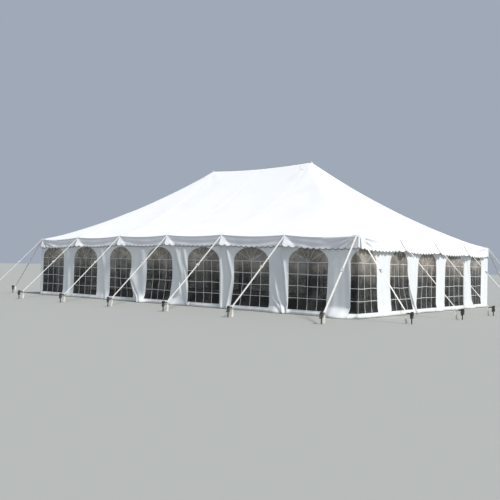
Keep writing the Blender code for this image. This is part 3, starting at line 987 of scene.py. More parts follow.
def make_patches():
    shapes = Shapes()
    steps = np.linspace(0, 1, PATCH_STEPS + 1)
    steps = np.insert(steps, [1, PATCH_STEPS], [PATCH_RIM, 1 - PATCH_RIM])
    s, t = np.meshgrid(steps, steps, indexing="ij")
    for side in SIDES:
        for along in pole_lines(side)[1:-1]:
            spread = (s - 0.5) * PATCH_SIZE * (1 - PATCH_TAPER * t)
            placed = place_on_side(side, along + spread, -PATCH_MARGIN - PATCH_SIZE * t, 0.0)
            add_patch(shapes, placed[..., :2])
    for sx in (-1, 1):
        for sy in (-1, 1):
            xs = sx * (HALF_LENGTH - PATCH_MARGIN - PATCH_SIZE * s)
            ys = sy * (HALF_WIDTH - PATCH_MARGIN - PATCH_SIZE * t)
            add_patch(shapes, np.stack([xs, ys], axis=-1))
        turns = math.tau * np.arange(PEAK_PATCH_SIDES + 1) / PEAK_PATCH_SIDES
        angles, share = np.meshgrid(turns, steps, indexing="ij")
        radii = PEAK_PATCH_HOLE + (PEAK_PATCH_RADIUS - PEAK_PATCH_HOLE) * share
        add_patch(shapes, np.stack([sx * PEAK_X + np.cos(angles) * radii, np.sin(angles) * radii], axis=-1))
    mesh = shapes.mesh("roof_patches")
    edit = bmesh.new()
    edit.from_mesh(mesh)
    bmesh.ops.remove_doubles(edit, verts=edit.verts, dist=WELD_DISTANCE)
    bmesh.ops.reverse_faces(edit, faces=[face for face in edit.faces if face.normal.z < 0])
    edit.to_mesh(mesh)
    edit.free()
    return mesh


patches = add_piece("roof_patches", make_patches(), ROOF_CLOTH, thickness=PATCH_THICKNESS)
print("patches", len(patches.data.polygons), "faces")

# %% Rings and pins on the pole tops
EAVE_RING = {"Ring radius": 0.022, "Wire radius": 0.0045, "Pin radius": 0.009, "Pin height": 0.042}
PEAK_RING = {"Ring radius": 0.060, "Wire radius": 0.009, "Pin radius": 0.014, "Pin height": 0.060}
EAVE_RING_LIFT = 0.004
PIN_TAPER = 0.45  # radius of a pin's tip over that of its foot


def make_ring_tree():
    inputs = [
        ("Places", "Geometry"), ("Ring radius", "Float", 0.02), ("Wire radius", "Float", 0.004),
        ("Pin radius", "Float", 0.008), ("Pin height", "Float", 0.03), ("Metal", "Material"),
    ]
    tree, given, result = new_tree("pole top rings", "GeometryNodeTree", inputs, [("Rings", "Geometry")])
    circle = "GeometryNodeCurvePrimitiveCircle"
    path = add_node(tree, circle, {"Resolution": 20, "Radius": given["Ring radius"]})
    wire = add_node(tree, circle, {"Resolution": 8, "Radius": given["Wire radius"]})
    swept = {"Curve": path.outputs[0], "Profile Curve": wire.outputs[0]}
    ring = add_node(tree, "GeometryNodeCurveToMesh", swept)
    pin = add_node(tree, "GeometryNodeMeshCone", {
        "Vertices": 12,
        "Radius Top": given["Pin radius"] * PIN_TAPER,
        "Radius Bottom": given["Pin radius"],
        "Depth": given["Pin height"],
    })
    both = tree.nodes.new("GeometryNodeJoinGeometry")
    tree.links.new(ring.outputs[0], both.inputs[0])
    tree.links.new(pin.outputs[0], both.inputs[0])
    copied = {"Points": given["Places"], "Instance": both.outputs[0]}
    copies = add_node(tree, "GeometryNodeInstanceOnPoints", copied)
    end_tree(tree, copies.outputs[0], given["Metal"], result)
    return tree


def make_rings():
    tops = []
    for side in SIDES:
        lines = pole_lines(side) if side in LONG_SIDES else pole_lines(side)[1:-1]
        tops += [place_on_side(side, along, -POLE_INSET, 0.0) for along in lines]
    eave_places = [[on_roof(x, y, EAVE_RING_LIFT)] for x, y, _ in tops]
    peak_places = [[on_roof(sx * PEAK_X, 0, 0.0)] for sx in (-1, 1)]
    tree = make_ring_tree()
    kinds = (("eave_rings", EAVE_RING, eave_places), ("peak_rings", PEAK_RING, peak_places))
    for name, sizes, places in kinds:
        mesh = grow(name, tree, {**sizes, "Metal": ZINC}, line_mesh(name + "_places", places))
        shade(mesh, 40)
        add_piece(name, mesh)
    return len(tops)


print("eave rings", make_rings())

# %% [markdown]
# ## The rolled eave
# The canopy's edge is turned over a rope, which gives the eave its rounded lip and the dark line under
# it. It is a tube along the eave, so the line follows the same dips as the cloth.

# %% Eave roll
EAVE_ROLL_RADIUS = 0.011
EAVE_ROLL_SIDES = 10
EAVE_ROLL_DROP = 0.006
EAVE_ROLL_STEPS = 24  # to a bay


def make_eave_roll():
    lines = []
    for side, (_, half_side, bays, _) in SIDES.items():
        along = np.linspace(-half_side, half_side, bays * EAVE_ROLL_STEPS + 1)[:-1]
        lines.append(place_on_side(side, along, 0.0, eave_height(side, along) - EAVE_ROLL_DROP))
    line = np.concatenate(lines)
    ahead = unit(np.roll(line, -1, axis=0) - np.roll(line, 1, axis=0))
    outward = unit(np.cross(ahead, (0.0, 0.0, 1.0)))
    upward = np.cross(outward, ahead)
    angles = math.tau * np.arange(EAVE_ROLL_SIDES) / EAVE_ROLL_SIDES
    rings = [line + EAVE_ROLL_RADIUS * (math.cos(a) * outward + math.sin(a) * upward) for a in angles]
    shapes = Shapes()
    faces = grid_faces(len(line), EAVE_ROLL_SIDES, closed=True, tube=True)
    shapes.add(np.stack(rings, axis=1), faces)
    return shapes.mesh("eave_roll")


add_piece("eave_roll", make_eave_roll(), ROOF_CLOTH)
print("eave roll of", round(4 * (HALF_LENGTH + HALF_WIDTH), 1), "m")

# %% [markdown]
# ## Valances
# The skirt under the eave hangs free, and its lower edge is cut in scallops, twelve to a bay. At each pole
# top the guy pulls the eave out, so the cloth falls from there in a cone whose right flank catches the
# light. Between the poles it lies in shallow swags. A dark tape along its edge is painted shade, for the
# deep gap between the scallops and the wall. A cloth solver would need many frames to find the same rest
# shape and would blur the scallops, so it is bent by formula, column by column. The numbers inside a sine
# set the length and the start of a wave. They were given one by one.

# %% Valance: how the cloth hangs
VALANCE_DEPTH = 0.36
SCALLOPS_PER_BAY = 12
SCALLOP_DEPTH = 0.05
COLUMNS_PER_SCALLOP = 10
VALANCE_ROWS = 14
VALANCE_TOP_DROP = 0.012
CONE_RISE = 0.16
CONE_SPREAD = (0.55, 1.35)  # widths of a cone's left and right flank over its depth
CONE_TIP = 0.02  # half width of a cone at its top
CORNER_CONE = (0.6, 0.15)  # share of the rise that is left at a side's left and right corner
CORNER_CONE_REACH = (0.3, 1.2)  # distances from the corner between which the rise comes back
CORNER_CALM = 0.16  # length next to a corner that lies flat, so that its edge is sharp and upright
CORNER_LAP = 0.01  # in this last length a side reaches out to meet the next one
# Folds that radiate from a pole top: how many to a whole turn, the length over which they fade, and
# the slants and distances between which they set in.
POLE_FOLD = 0.008
POLE_FAN = (14, 0.45, (1.3, 0.8), (0.02, 0.2))
CORNER_FOLD = 0.046
CORNER_FAN = (22, 0.7, (1.1, 0.6), (0.10, 0.42))
CORNER_FAN_REACH = (0.9, 1.4)  # distances from the corner between which they die away
VALANCE_OUT = 0.005
VALANCE_LEAN = {"front": 0.004, "right": 0.07, "back": 0.004, "left": 0.07}
LEAN_POWER = 1.5
LEAN_START = (0.05, 0.7)  # distances from the corner between which a side starts to lean
SWAG_DEPTH = 0.012
SWAG_PITCH = 0.19
SWAG_DIP = 0.07  # how much lower the swags lie in the middle of a bay
RIPPLE_DEPTH = 0.006
LOBE_POWER = 0.75  # under 1, it makes the scallops round and their joins sharp


def to_nearest(places, along):
    """Signed distance from the nearest of some places along a side."""
    nearest = places[np.abs(along[..., None] - places).argmin(axis=-1)]
    return along - nearest


def scallop_depth(along):
    lobes = np.abs(np.sin(np.pi * along * SCALLOPS_PER_BAY / BAY))
    return VALANCE_DEPTH - SCALLOP_DEPTH * (1 - lobes ** LOBE_POWER)


def radiating_folds(slant, away, count, fade, slants, starts):
    """Folds that run out from a pole top, as a height between -1 and 1."""
    fan = np.cos(slant * count) * np.exp(-away / fade)
    return fan * soft_step(slant, *slants) * soft_step(away, *starts)


def hang_valance(side, along, depth, lift=0.0):
    """Places of valance points: along the side, and depth down the cloth from the eave."""
    from_corner = SIDES[side][1] - np.abs(along)
    to_pole = to_nearest(pole_lines(side), along)
    share = depth / VALANCE_DEPTH
    spread = np.where(to_pole < 0, *CONE_SPREAD)
    cone = np.clip(1 - np.abs(to_pole) / (spread * depth + CONE_TIP), 0, 1)
    at_corner = np.where(along < 0, *CORNER_CONE)
    free = at_corner + (1 - at_corner) * soft_step(from_corner, *CORNER_CONE_REACH)
    away = np.hypot(to_pole, depth)
    slant = np.arctan2(depth, np.abs(to_pole))
    fan = radiating_folds(slant, away, *POLE_FAN)
    ridges = radiating_folds(slant, away, *CORNER_FAN)
    near_corner = 1 - soft_step(from_corner, *CORNER_FAN_REACH)
    out = CONE_RISE * share * cone * free + POLE_FOLD * fan * share + CORNER_FOLD * ridges * near_corner
    out = out + VALANCE_LEAN[side] * share ** LEAN_POWER * soft_step(from_corner, *LEAN_START)

    mid_bay = eave_dip(side, along) / EAVE_SAG
    swag = np.sin(math.tau * (depth - SWAG_DIP * mid_bay) / SWAG_PITCH + 0.9 * np.sin(1.7 * along))
    ripple = np.sin(9.1 * along + 1.3 * np.sin(2.3 * along))
    uneven = SWAG_DEPTH * swag * (1 - cone) + RIPPLE_DEPTH * ripple
    out = (out + uneven * share) * soft_step(from_corner, 0.0, CORNER_CALM) + VALANCE_OUT + lift
    corner = np.sign(along) * (VALANCE_OUT + lift) * soft_step(from_corner, CORNER_LAP, 0.0)
    up = eave_height(side, along) - VALANCE_TOP_DROP - depth
    return place_on_side(side, along + corner, out, up)


# %% Valance: dark hem tape, painted shade
HEM_WIDTH = 0.018
HEM_FRONT = 0.0014  # from the cloth's face to the tape's front
HEM_BACK = 0.0030
HEM_LAP = 0.0015  # how far the tape reaches below the cloth


def make_hem(side, along):
    """A dark tape folded round the lower edge, painted shade for the deep gap under the scallops. Like the
    cloth, it leans where a cone stands out.
    """
    edge = scallop_depth(along) - VALANCE_TOP_DROP
    low, high = edge + HEM_LAP, edge - HEM_WIDTH
    corners = [(high, -HEM_BACK), (low, -HEM_BACK), (low, HEM_FRONT), (high, HEM_FRONT)]
    points = np.stack([hang_valance(side, along, depth, lift) for depth, lift in corners])
    flat = np.stack([np.stack([depth, along], axis=-1) for depth, _ in corners])
    shapes = Shapes()
    shapes.add(points, band_faces(len(along)), flat)
    name = side + "_valance_hem"
    return add_piece(name, shapes.mesh(name, 50), HEM_SHADE_TAPE)


# %% Valance: cloth of each side
def make_valance(side):
    _, half_side, bays, _ = SIDES[side]
    columns = bays * SCALLOPS_PER_BAY * COLUMNS_PER_SCALLOP + 1
    hem_along = np.linspace(-half_side, half_side, columns)
    along, share = np.meshgrid(hem_along, np.linspace(1, 0, VALANCE_ROWS), indexing="ij")
    depth = share * (scallop_depth(along) - VALANCE_TOP_DROP)
    shapes = Shapes()
    points = hang_valance(side, along, depth)
    shapes.add(points, grid_faces(columns, VALANCE_ROWS), np.stack([along, -depth], axis=-1))
    name = side + "_valance_cloth"
    stood_for = [side + "_valance"]
    valance = add_piece(name, shapes.mesh(name), VALANCE_CLOTH, stood_for, CLOTH_THICKNESS)
    hem = make_hem(side, hem_along)
    return len(valance.data.polygons)


print("valance faces", {side: make_valance(side) for side in SIDES})

# %% [markdown]
# ## How the walls hang
# A wall is one long curtain clipped to a rope under the eave. Its hem lies on the ground. The cloth between
# two windows is a plain panel, and every panel hangs in its own way: pulled sideways, folded along a
# slanting line or splayed at its foot. The lists below are chosen from what the front and right walls show.
# Everything on a wall, from film to bars, is mapped through the same function, so it bends with the cloth.

# %% Windows in the flat cloth
WINDOW_PITCH = 2.07
WINDOW_WIDTH = 1.38
WINDOW_SILL = 0.13
WINDOW_SPRING_DROP = 0.74  # from the corners of the eave to the line where the arches start
WINDOW_SPRING = EAVE_HEIGHT - WINDOW_SPRING_DROP
WINDOW_ARCH_HEIGHT = 0.45
CORNER_WINDOW_SHIFT = 0.40  # from the corner to the middle of the window that wraps it
LAST_WINDOW_MARGIN = 0.12
WALL_FOOT = 0.012
WALL_HANG = 0.022  # from the corners of the eave to the wall's top edge
WALL_TOP = EAVE_HEIGHT - WALL_HANG
OUTLINE_STEP = 0.045
ARCH_STEPS = 36


def half_wall(side):
    return SIDES[side][1] - WALL_INSET


def window_centres(side):
    """Middles of a side's windows. The first one wraps the corner at the right end of a long side."""
    direction = -1 if side in LONG_SIDES else 1
    first = direction * CORNER_WINDOW_SHIFT
    last = 2 * half_wall(side) - WINDOW_WIDTH / 2 - LAST_WINDOW_MARGIN
    count = int((last - first) / WINDOW_PITCH) + 1
    return [direction * (first + i * WINDOW_PITCH - half_wall(side)) for i in range(count)]


def window_outline():
    """The outline of one window round its middle, as rows of (along, up)."""
    half = WINDOW_WIDTH / 2
    sill = np.arange(-half, half, OUTLINE_STEP)
    jamb = np.arange(WINDOW_SILL, WINDOW_SPRING, OUTLINE_STEP)
    angles = np.linspace(0, math.pi, ARCH_STEPS + 1)
    arch = np.stack([half * np.cos(angles), WINDOW_SPRING + WINDOW_ARCH_HEIGHT * np.sin(angles)], axis=-1)
    return np.concatenate([
        np.stack([sill, np.full_like(sill, WINDOW_SILL)], axis=-1),
        np.stack([np.full_like(jamb, half), jamb], axis=-1),
        arch,
        np.stack([np.full_like(jamb, -half), jamb], axis=-1)[:0:-1],
    ])


def in_window(side, along, up, margin=0.0):
    """Whether places on the flat wall lie inside a window, or within a margin of it."""
    inside = np.zeros(np.shape(along), bool)
    half = WINDOW_WIDTH / 2 + margin
    rise = WINDOW_ARCH_HEIGHT + margin
    for centre in window_centres(side):
        across = np.abs(along - centre)
        arch = np.sqrt(np.clip(1 - (across / half) ** 2, 0, 1)) * rise + WINDOW_SPRING
        inside |= (across < half) & (up > WINDOW_SILL - margin) & (up < arch)
    return inside


print("windows", {side: [round(c, 2) for c in window_centres(side)] for side in SIDES})

# %% Where the cloth is pulled sideways
# Each row is a window's edge, from the left end to the right: its place, and how far it is pulled to
# the right at the heights in PULL_HEIGHTS.
PULL_HEIGHTS = (1.80, 1.00, 0.12)
PULL_FADE = 1.9  # height above which a pull fades towards the wall's top edge
LONG_PULLS = (
    (-5.92, 0.06, 0.05, 0.03), (-5.23, 0.01, 0.01, 0.00),
    (-3.85, 0.07, 0.09, 0.09), (-3.16, 0.10, 0.13, 0.12),
    (-1.78, -0.05, -0.04, 0.10), (-1.09, 0.05, 0.08, 0.03),
    (0.29, -0.04, 0.00, -0.11), (0.98, -0.01, 0.03, 0.07),
    (2.36, 0.04, 0.09, 0.10), (3.05, -0.05, -0.01, -0.12),
    (4.43, -0.02, 0.02, 0.04), (5.12, 0.00, 0.02, 0.04),
    (6.50, 0.04, 0.02, -0.01), (7.19, 0.05, 0.07, 0.08),
)
SHORT_PULLS = (
    (-3.89, -0.07, 0.00, 0.08), (-3.20, 0.09, 0.09, 0.16),
    (-1.82, -0.12, -0.12, 0.26), (-1.13, -0.08, -0.12, -0.20),
    (0.25, -0.08, -0.06, -0.05), (0.94, -0.05, -0.08, -0.09),
    (2.32, 0.18, 0.22, 0.26), (3.01, 0.08, 0.18, 0.26),
    (4.39, -0.10, -0.13, -0.15),
)

# %% Where the cloth is folded and splayed
# Ridges: their places at the heights in RIDGE_HEIGHTS, how far they stand out, their width, and the
# height where they have died away. One that stands out by less than nothing is a crease. One with a
# width below nothing has its steep flank on the right, and so its long flank in the shade.
RIDGE_HEIGHTS = (1.90, 1.10, 0.40, 0.03)
LONG_RIDGES = (
    ((-5.70, -5.62, -5.58, -5.60), 0.025, 0.10, 9),
    ((-3.62, -3.45, -3.40, -3.30), 0.030, 0.09, 9),
    ((-1.80, -1.82, -1.66, -1.30), 0.090, 0.20, 1.3),
    ((-1.90, -1.84, -1.60, -1.27), -0.050, 0.045, 0.9),
    ((-1.24, -1.22, -1.16, -1.12), 0.040, -0.24, 9),
    ((0.46, 0.72, 0.62, 0.46), 0.050, 0.11, 9),
    ((0.33, 0.60, 0.78, 0.90), -0.045, 0.050, 9),
    ((0.84, 0.96, 0.97, 0.98), 0.040, -0.12, 9),
    ((0.68, 0.93, 1.02, 1.04), -0.040, 0.045, 9),
    ((2.42, 2.43, 2.45, 2.48), 0.050, 0.06, 9),
    ((2.74, 2.96, 2.88, 2.86), 0.055, 0.08, 9),
    ((2.66, 2.86, 2.80, 2.76), -0.035, 0.045, 9),
    ((4.92, 5.02, 5.08, 5.11), 0.050, 0.045, 9),
    ((4.84, 4.93, 5.00, 5.04), -0.030, 0.040, 9),
    ((4.40, 4.58, 4.78, 5.02), 0.050, 0.055, 1.15),
    ((4.16, 4.34, 4.58, 5.00), 0.050, 0.060, 0.85),
    ((6.75, 6.72, 6.70, 6.66), 0.010, 0.12, 9),
    ((7.08, 7.14, 7.19, 7.22), 0.022, 0.05, 9),
)
SHORT_RIDGES = (
    ((-3.70, -3.66, -3.58, -3.50), 0.020, 0.09, 9),
    ((-3.32, -3.30, -3.22, -3.12), 0.018, 0.06, 9),
    ((-1.86, -1.84, -1.72, -1.55), 0.060, 0.08, 1.4),
    ((-1.40, -1.42, -1.44, -1.46), 0.024, 0.07, 9),
    ((0.45, 0.50, 0.48, 0.40), 0.024, 0.09, 9),
    ((2.70, 2.86, 2.94, 3.10), 0.035, 0.09, 9),
    ((4.62, 4.60, 4.56, 4.50), 0.022, 0.09, 9),
)
# Splays of the foot: place, distance out and half width.
LONG_SPLAYS = (
    (-3.40, 0.05, 0.35), (-1.30, 0.08, 0.25), (0.35, 0.13, 0.32), (4.72, 0.12, 0.26), (6.90, 0.34, 0.38),
)
SHORT_SPLAYS = ((-3.50, 0.05, 0.30), (-1.50, 0.08, 0.30), (0.55, 0.05, 0.35), (3.05, 0.07, 0.35))
RIDGE_FLANKS = (0.8, 1.9)  # steepness of a ridge's right and left flank
RIDGE_FADE = 0.5  # height over which a ridge dies away
FOLD_TOPS = (2.05, 1.80)  # under the band, folds set in and are full at these heights
WRINKLE_DEPTH = 0.0045
WRINKLE_MARGIN = 0.05  # how far the wrinkles of a panel run past a window's edge
FOOT_SPLAY = 0.060
FOOT_SPLAY_HEIGHT = 0.30
SPLAY_POWER = 1.25
WINDOW_SLACK = 0.012
WINDOW_RIPPLE = 0.003
WINDOW_SHIFTS = (0.010, 0.007)  # slack film also hangs a little lower or higher than flat film
CORNER_FADE = 0.14  # length next to a wall's end in which pulls and folds fade
EAVE_FADE = 2.0  # height from which the wall's top edge starts to follow the eave


# %% The form of a wall
def window_belly(side, along, up):
    """1 in the middle of a window and 0 at its edges and between windows."""
    belly = np.zeros(np.shape(along))
    height = np.clip((up - WINDOW_SILL) / (WINDOW_SPRING + WINDOW_ARCH_HEIGHT - WINDOW_SILL), 0, 1)
    for centre in window_centres(side):
        across = np.clip(1 - ((along - centre) / (WINDOW_WIDTH / 2)) ** 2, 0, 1)
        belly = belly + across * 4 * height * (1 - height)
    return belly


def wall_pull(along, up, pulls, end):
    """How far the cloth is pulled to the right, between the wall's two fixed ends."""
    places = np.array([-end, *[p[0] for p in pulls], end])
    top, middle, foot = [np.interp(along, places, [0, *[p[k] for p in pulls], 0]) for k in (1, 2, 3)]
    slip = middle + (top - middle) * soft_step(up, PULL_HEIGHTS[1], PULL_HEIGHTS[0])
    slip = slip + (foot - middle) * soft_step(up, PULL_HEIGHTS[1], PULL_HEIGHTS[2])
    return slip * soft_step(up, WALL_TOP, PULL_FADE)


def wall_folds(side, along, up, ridges):
    """How far folds and wrinkles bring the cloth out."""
    right, left = RIDGE_FLANKS
    out = np.zeros(np.shape(along))
    for line, rise, width, top in ridges:
        across = (along - np.interp(up, RIDGE_HEIGHTS[::-1], line[::-1])) / width
        form = np.exp(-np.where(across > 0, across * right, across * left) ** 2)
        out = out + rise * form * soft_step(up, top, top - RIDGE_FADE)
    panel = 1.0 - in_window(side, along, up, -WRINKLE_MARGIN)
    out = out + WRINKLE_DEPTH * np.sin(19.0 * along + 1.1 * np.sin(1.9 * along) + 0.8 * up) * panel
    return out * soft_step(up, *FOLD_TOPS)


def wall_splay(along, up, splays):
    """How far the foot of the cloth stands out."""
    splay = FOOT_SPLAY * (0.7 + 0.3 * np.sin(4.3 * along + 0.7))
    for place, distance, width in splays:
        splay = splay + distance * np.exp(-((along - place) / width) ** 2)
    return splay * np.clip(1 - up / FOOT_SPLAY_HEIGHT, 0, 1) ** SPLAY_POWER


def wall_form(side, along, up):
    """Sideways pull, distance out and change of height of places on a side's flat wall."""
    on_long = side in LONG_SIDES
    end = half_wall(side)
    slip = wall_pull(along, up, LONG_PULLS if on_long else SHORT_PULLS, end)
    out = wall_folds(side, along, up, LONG_RIDGES if on_long else SHORT_RIDGES)
    belly = window_belly(side, along, up)
    out = out - WINDOW_SLACK * belly * (0.6 + 0.4 * np.sin(2.3 * along + 5.1 * up))
    out = out + WINDOW_RIPPLE * np.sin(7.3 * along - 6.1 * up) * belly
    out = out + wall_splay(along, up, LONG_SPLAYS if on_long else SHORT_SPLAYS)
    fade = soft_step(end - np.abs(along), 0.0, CORNER_FADE)
    one, two = WINDOW_SHIFTS
    slack = (one * np.sin(2.1 * along + 3.7 * up) + two * np.sin(5.3 * along - 2.2 * up)) * belly
    lift = (eave_height(side, along) - EAVE_HEIGHT) * soft_step(up, EAVE_FADE, WALL_TOP)
    return slip * fade, out * fade, slack + lift


# %% Map a flat wall into place, round the corner too
CORNER_RADIUS = 0.03
FLOOR_GAP = 0.004  # no point of a wall comes nearer to the ground


def hang_on_wall(side, along, up, lift=0.0):
    """Places of points on a wall. Past its right end, a point goes on along the next side's wall."""
    along, up, lift = np.broadcast_arrays(np.asarray(along, float), up, lift)
    names = list(SIDES)
    following = names[(names.index(side) + 1) % len(names)]
    end = half_wall(side)
    own = wall_form(side, np.minimum(along, end), up)
    beyond = wall_form(following, np.maximum(along - end, 0) - half_wall(following), up)
    slip, out, rise = np.where(along > end, beyond, own)
    place = along + slip
    turn = np.clip((np.abs(place) - (end - CORNER_RADIUS)) / (2 * CORNER_RADIUS), 0, 1) * math.pi / 2
    straight = np.minimum(np.abs(place), end - CORNER_RADIUS)
    radius = CORNER_RADIUS + out + lift
    level = np.sign(place) * (straight + radius * np.sin(turn))
    past = np.maximum(0, np.abs(place) - end - CORNER_RADIUS)
    inset = WALL_INSET + CORNER_RADIUS - radius * np.cos(turn) + past
    return place_on_side(side, level, -inset, np.maximum(up + rise, FLOOR_GAP))


print("corner of the front wall", hang_on_wall("front", half_wall("front"), 1.0).round(3))

# %% [markdown]
# ## Wall cloth
# The wall is flat cloth with window-shaped holes, so its mesh is cut flat too: a constrained Delaunay
# mesh takes the outlines of the windows as edges and fills the rest. The holes have clean rims that
# way, which a boolean on a folded sheet would tear. Then the points are hung in place.

# %% Walls
WALL_STEP = (0.025, 0.055)  # along and up
RIM_MARGIN = 0.014  # from a window's rim to the nearest point of the grid
SAME_POINT = 0.0005  # points nearer to each other than this become one


def rim_of(across, heights):
    """Points round a rectangle, from its lower left corner, counterclockwise."""
    low, high, left, right = heights[0], heights[-1], across[0], across[-1]
    rim = [(x, low) for x in across[:-1]] + [(right, y) for y in heights[:-1]]
    return rim + [(x, high) for x in across[:0:-1]] + [(left, y) for y in heights[:0:-1]]


def flat_wall(side):
    """Points and triangles of a wall as flat cloth."""
    end = half_wall(side)
    across = np.linspace(-end, end, int(2 * end / WALL_STEP[0]) + 1)
    heights = np.linspace(WALL_FOOT, WALL_TOP, int((WALL_TOP - WALL_FOOT) / WALL_STEP[1]) + 1)
    loops = [rim_of(across, heights)]
    loops += [[(x + centre, y) for x, y in window_outline()] for centre in window_centres(side)]
    points, edges = [], []
    for loop in loops:
        first, count = len(points), len(loop)
        points += loop
        edges += [(first + i, first + (i + 1) % count) for i in range(count)]
    x, y = np.meshgrid(across[1:-1], heights[1:-1], indexing="ij")
    keep = ~in_window(side, x, y, RIM_MARGIN)
    points += list(zip(x[keep], y[keep]))
    made = delaunay_2d_cdt([Vector(p) for p in points], edges, [], 0, SAME_POINT)
    flat = np.array([tuple(v) for v in made[0]])
    faces = np.array([tuple(f) for f in made[2]])
    middle = flat[faces].mean(axis=1)
    inside = (np.abs(middle[:, 0]) < end) & (middle[:, 1] > WALL_FOOT) & (middle[:, 1] < WALL_TOP)
    faces = faces[inside & ~in_window(side, middle[:, 0], middle[:, 1])]
    used, faces = np.unique(faces, return_inverse=True)
    flat, faces = flat[used], faces.reshape(-1, 3)
    one, two = flat[faces[:, 1]] - flat[faces[:, 0]], flat[faces[:, 2]] - flat[faces[:, 0]]
    areas = (one[:, 0] * two[:, 1] - one[:, 1] * two[:, 0]) / 2
    faces[areas < 0] = faces[areas < 0][:, ::-1]
    return flat, faces, float(np.abs(areas).sum())


def make_wall(side):
    flat, faces, area = flat_wall(side)
    shapes = Shapes()
    shapes.add(hang_on_wall(side, flat[:, 0], flat[:, 1]), faces, flat)
    name = side + "_wall_cloth"
    wall = add_piece(name, shapes.mesh(name), WALL_CLOTH, [side + "_wall"], CLOTH_THICKNESS)
    return len(faces), round(area, 2)


print("walls: faces and flat area", {side: make_wall(side) for side in SIDES})

# %% [markdown]
# ## Window film
# Each window is a rectangle of clear film welded behind its opening. It is a grid hung by the wall's
# own function a little behind the cloth, so it bellies with the wall.

# %% Films
FILM_LAP = 0.03
FILM_LIFT = -0.0034  # a lift below 0 lies behind the cloth's face
FILM_THICKNESS = 0.0006
FILM_COLUMNS = 57
FILM_ROWS = 41


def own_windows(side):
    """The windows made with a side. A long side makes the one that wraps its corner."""
    centres = window_centres(side)
    return centres if side in LONG_SIDES else centres[1:]


def make_film_sheet(side, number, centre):
    width = WINDOW_WIDTH + 2 * FILM_LAP
    low, high = WINDOW_SILL - FILM_LAP, WINDOW_SPRING + WINDOW_ARCH_HEIGHT + FILM_LAP
    across = np.linspace(centre - width / 2, centre + width / 2, FILM_COLUMNS)
    along, up = np.meshgrid(across, np.linspace(low, high, FILM_ROWS), indexing="ij")
    shapes = Shapes()
    points = hang_on_wall(side, along, up, FILM_LIFT)
    shapes.add(points, grid_faces(FILM_COLUMNS, FILM_ROWS), np.stack([along, up], axis=-1))
    name = f"{side}_window_film_{number}"
    film = add_piece(name, shapes.mesh(name), FILM, [side + "_glazing"], FILM_THICKNESS)
    return film


films = [make_film_sheet(side, i + 1, c) for side in SIDES for i, c in enumerate(own_windows(side))]
print("films", len(films))

# %% [markdown]
# ## Window bars
# White strips on the film divide each window: three uprights, three rails, the spring line and a fan
# of five spokes round a small hub. A border strip follows the opening. One window's lines are drawn
# flat, and a tree sweeps them into strips and repeats them along the wall at the windows' pitch. The
# flat result is then hung like the rest of the wall.

# %% Bars: the lines of one window
BAR_WIDTH = 0.017
BAR_LIFT = -0.0012  # on the film, behind the wall's face
BAR_LAP = 0.01  # how far a bar goes on behind the rim
SPOKE_WIDTH = 0.009
SPOKE_LIFT = -0.0013
BAR_THICKNESS = 0.0016
BORDER_WIDTH = 0.026
BORDER_THICKNESS = 0.0014
BORDER_LIFT = 0.0010
STRIP_STEP = 0.035
PANE_ROWS = 4
PANE_COLUMNS = 4
SPOKE_ANGLES = (30, 60, 90, 120, 150)
HUB_RADIUS = 0.035
HUB_STEPS = 8


def bar_lines():
    """Uprights and rails of one window, from its middle, as x along and y up."""
    half = WINDOW_WIDTH / 2 + BAR_LAP
    lines = []
    for i in range(1, PANE_COLUMNS):
        x = WINDOW_WIDTH * (i / PANE_COLUMNS - 0.5)
        lines.append([(x, WINDOW_SILL, 0), (x, WINDOW_SPRING, 0)])
    for i in range(1, PANE_ROWS + 1):
        y = WINDOW_SILL + (WINDOW_SPRING - WINDOW_SILL) * i / PANE_ROWS
        lines.append([(-half, y, 0), (half, y, 0)])
    return lines


def spoke_lines():
    """Lines of the fan in the arch and of its hub."""
    lines = []
    for degrees in SPOKE_ANGLES:
        c, s = math.cos(math.radians(degrees)), math.sin(math.radians(degrees))
        reach = 1 / math.hypot(c / (WINDOW_WIDTH / 2), s / WINDOW_ARCH_HEIGHT) + BAR_LAP
        lines.append([(r * c, WINDOW_SPRING + r * s, 0) for r in (HUB_RADIUS, reach)])
    angles = np.linspace(0, math.pi, HUB_STEPS + 1)
    lines.append([(HUB_RADIUS * math.cos(a), WINDOW_SPRING + HUB_RADIUS * math.sin(a), 0) for a in angles])
    return lines


def border_lines():
    outline = [(x, y, 0) for x, y in window_outline()]
    return [outline + outline[:1]]


# %% Bars: the tree that sweeps and repeats them
def make_window_tree():
    inputs = [
        ("Lines", "Geometry"), ("Width", "Float", 0.03), ("Thickness", "Float", 0.002),
        ("Step", "Float", 0.04), ("Windows", "Int", 1), ("First window", "Float", 0.0),
        ("Pitch", "Float", 1.0), ("Material", "Material"),
    ]
    tree, given, result = new_tree("window strips", "GeometryNodeTree", inputs, [("Strips", "Geometry")])
    strips = sweep_lines(tree, given)
    start = add_node(tree, "ShaderNodeCombineXYZ", {0: given["First window"]})
    step = add_node(tree, "ShaderNodeCombineXYZ", {0: given["Pitch"]})
    row = add_node(tree, "GeometryNodeMeshLine", {
        "Count": given["Windows"], "Start Location": start.outputs[0], "Offset": step.outputs[0],
    })
    copied = {"Points": row.outputs[0], "Instance": strips}
    copies = add_node(tree, "GeometryNodeInstanceOnPoints", copied)
    end_tree(tree, copies.outputs[0], given["Material"], result)
    return tree


WINDOW_TREE = make_window_tree()


